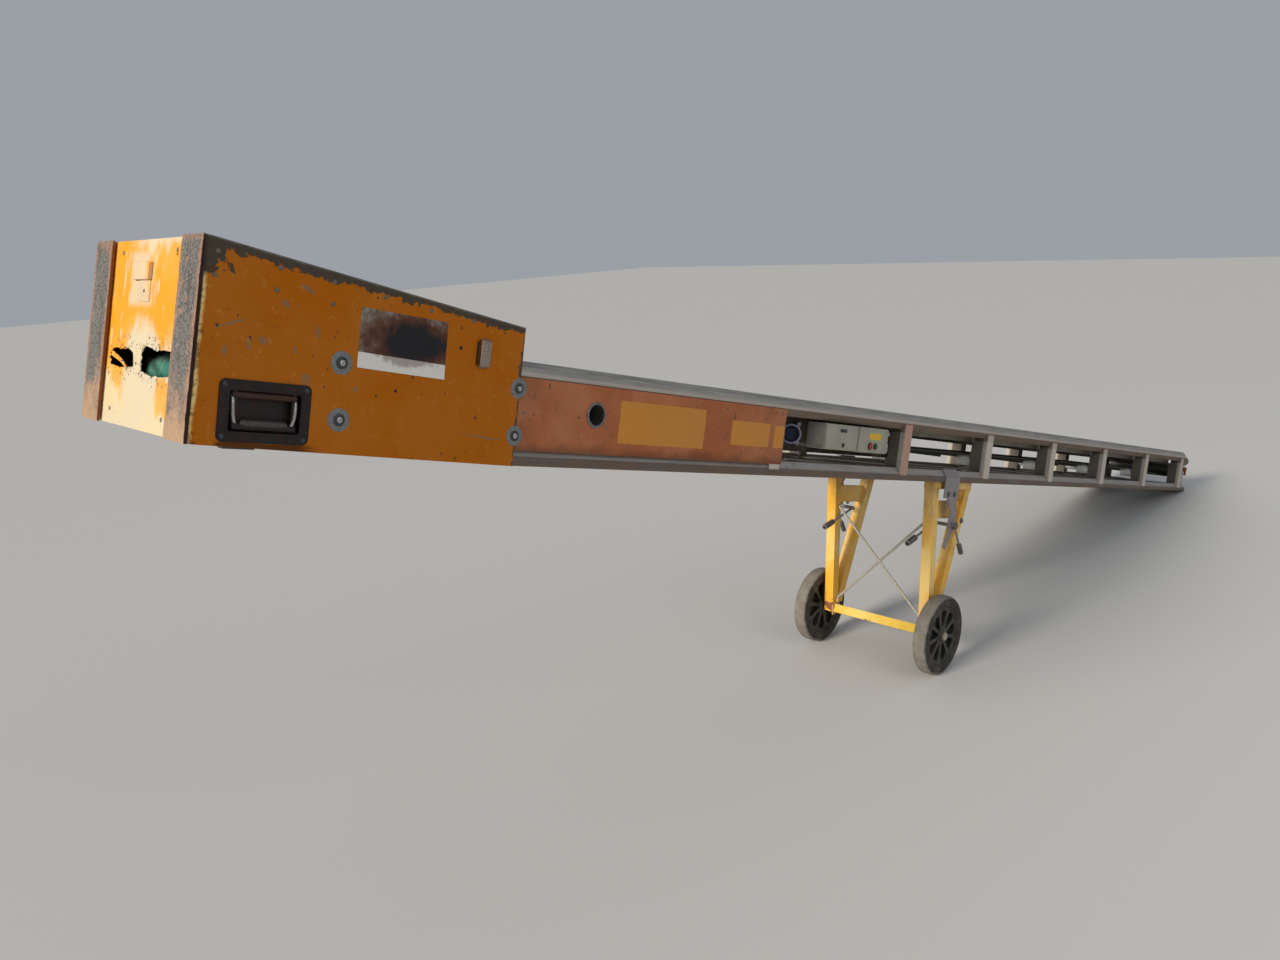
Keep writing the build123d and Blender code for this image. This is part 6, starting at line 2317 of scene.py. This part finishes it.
@dataclass(frozen=True)
class Dressing:
    """Gives every solid its finish and, where it catches the light, a broken edge."""

    finishes: tuple[tuple[str, Finish], ...] = (("top_rail", RAIL), ("bottom_rail", RAIL),
            ("cross_frame", POST), ("tail_frame", POST), ("end_frame", POST), ("lift_tube", STEEL),
            ("hopper_side_right", HOPPER_RIGHT), ("hopper_side_left", HOPPER_LEFT),
            ("hopper_end", END_PAINT), ("bump_strips", STRIP), ("hopper_liner", LINER), ("handle", DISH),
            ("side_panel", PANEL_PAINT), ("mounting_plate", BACK_PLATE), ("converter_box", ENCLOSURE),
            ("switch_box", ENCLOSURE), ("mains_inlet", INLET_BLUE), ("belt", BELT), ("slider_bed", SKIRT),
            ("skirt", SKIRT), ("tail_drum", STEEL), ("head_drum", STEEL), ("return_rollers", NYLON),
            ("stand_legs", STAND_PAINT), ("axle", AXLE_PAINT), ("brace_rods", ROD), ("clamp", PLATED))
    edges: tuple[tuple[str, float], ...] = (
        ("top_rail", 0.0012), ("cross_frame", 0.0008), ("side_panel", 0.0006),
        ("stand_legs", 0.0024), ("axle", 0.0016), ("hopper_end", 0.0008), ("converter_box", 0.002),
        ("switch_box", 0.002), ("mounting_plate", 0.0006), ("end_frame", 0.001), ("handle", 0.0006))

    def build(self) -> None:
        """Goes over all solids."""
        for name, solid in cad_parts.items():
            side = Side.LEFT if name.endswith("left") else Side.RIGHT
            if name.startswith(("tyre", "hub")):
                finish = wheel_finishes(side)[0 if name.startswith("tyre") else 1]
            else:
                finish = next(f for prefix, f in self.finishes if name.startswith(prefix))
            solid.data.materials.clear()
            solid.data.materials.append(finish.material())
            width = next((w for prefix, w in self.edges if name.startswith(prefix)), 0.0)
            if width:
                broken_edge(solid, width)
            LOG.info("%s: %s", name, finish.name)


@dataclass(frozen=True)
class Studio:
    """A plain pale floor, soft lights and the camera at the photograph's angle."""

    eye: tuple[float, float, float] = (-3.5834, -1.9577, 1.7334)
    right: tuple[float, float, float] = (0.69118, -0.72079, -0.05223)
    top: tuple[float, float, float] = (0.21295, 0.13407, 0.96782)
    forward: tuple[float, float, float] = (0.6906, 0.68006, -0.24616)
    lens: float = 27.79

    def floor(self) -> None:
        """A wide plane a hair under the wheels."""
        ends = np.linspace(-30.0, 30.0, 3)
        x, y = np.meshgrid(ends, ends, indexing="ij")
        mesh = bpy.data.meshes.new("studio_floor")
        points = np.stack([x, y, np.full_like(x, -0.0004)], -1).reshape(-1, 3)
        index = np.arange(9).reshape(3, 3)
        quads = np.stack([index[:-1, :-1], index[1:, :-1], index[1:, 1:], index[:-1, 1:]], -1).reshape(-1, 4)
        mesh.from_pydata(points.tolist(), [], quads.tolist())
        floor = bpy.data.objects.new("studio_floor", mesh)
        bpy.context.scene.collection.objects.link(floor)
        material = bpy.data.materials.new("pale floor")
        material.use_nodes = True
        shader = material.node_tree.nodes["Principled BSDF"]
        shader.inputs["Base Color"].default_value = (0.60, 0.59, 0.57, 1)
        shader.inputs["Roughness"].default_value = 0.85
        mesh.materials.append(material)

    def lights(self) -> None:
        """A warm soft key from beyond the hopper, pale air and a weak light from the camera's side."""
        world = bpy.data.worlds.new("studio air")
        world.use_nodes = True
        background = world.node_tree.nodes["Background"]
        background.inputs["Color"].default_value = (0.86, 0.92, 1.0, 1)
        background.inputs["Strength"].default_value = 0.38
        bpy.context.scene.world = world
        for name, kind, spot, size, power, colour in (
                ("key", "SUN", (-8.9, 1.0, 4.3), 0.26, 3.1, (1.0, 0.93, 0.82)),
                ("fill", "AREA", (-2.0, -7.0, 5.0), 5.0, 98, (0.95, 0.97, 1.0))):
            data = bpy.data.lights.new(name, kind)
            data.energy, data.color = power, colour
            if kind == "SUN":
                data.angle = size
            else:
                data.size = size
            lamp = bpy.data.objects.new(name, data)
            lamp.location = spot
            lamp.rotation_euler = (Vector((0, 0, 0.5)) - Vector(spot)).to_track_quat("-Z", "Y").to_euler()
            bpy.context.scene.collection.objects.link(lamp)

    def camera(self) -> None:
        """The camera: its three directions form the columns of its turn."""
        data = bpy.data.cameras.new("photo camera")
        data.lens, data.sensor_width = self.lens, 36.0
        camera = bpy.data.objects.new("photo camera", data)
        turn = Matrix([[self.right[i], self.top[i], -self.forward[i]] for i in range(3)])
        camera.matrix_world = Matrix.Translation(self.eye) @ turn.to_4x4()
        bpy.context.scene.collection.objects.link(camera)
        bpy.context.scene.camera = camera

    def build(self) -> None:
        """Makes the floor, the lights and the camera."""
        bpy.context.scene.view_settings.view_transform = "Standard"
        self.floor()
        self.lights()
        self.camera()


def main() -> None:
    """Builds every sub-assembly in order."""
    logging.basicConfig(level=logging.INFO, format="%(message)s")
    for part in (Dressing(), Hopper(), EndPlate(), Frame(), BeltTrim(), Electrics(), Stand(),
                 Wheel(Side.LEFT, Body.LEFT), Wheel(Side.RIGHT, Body.RIGHT), Studio()):
        LOG.info("building %s", type(part).__name__)
        part.build()


if __name__ == "__main__":
    main()
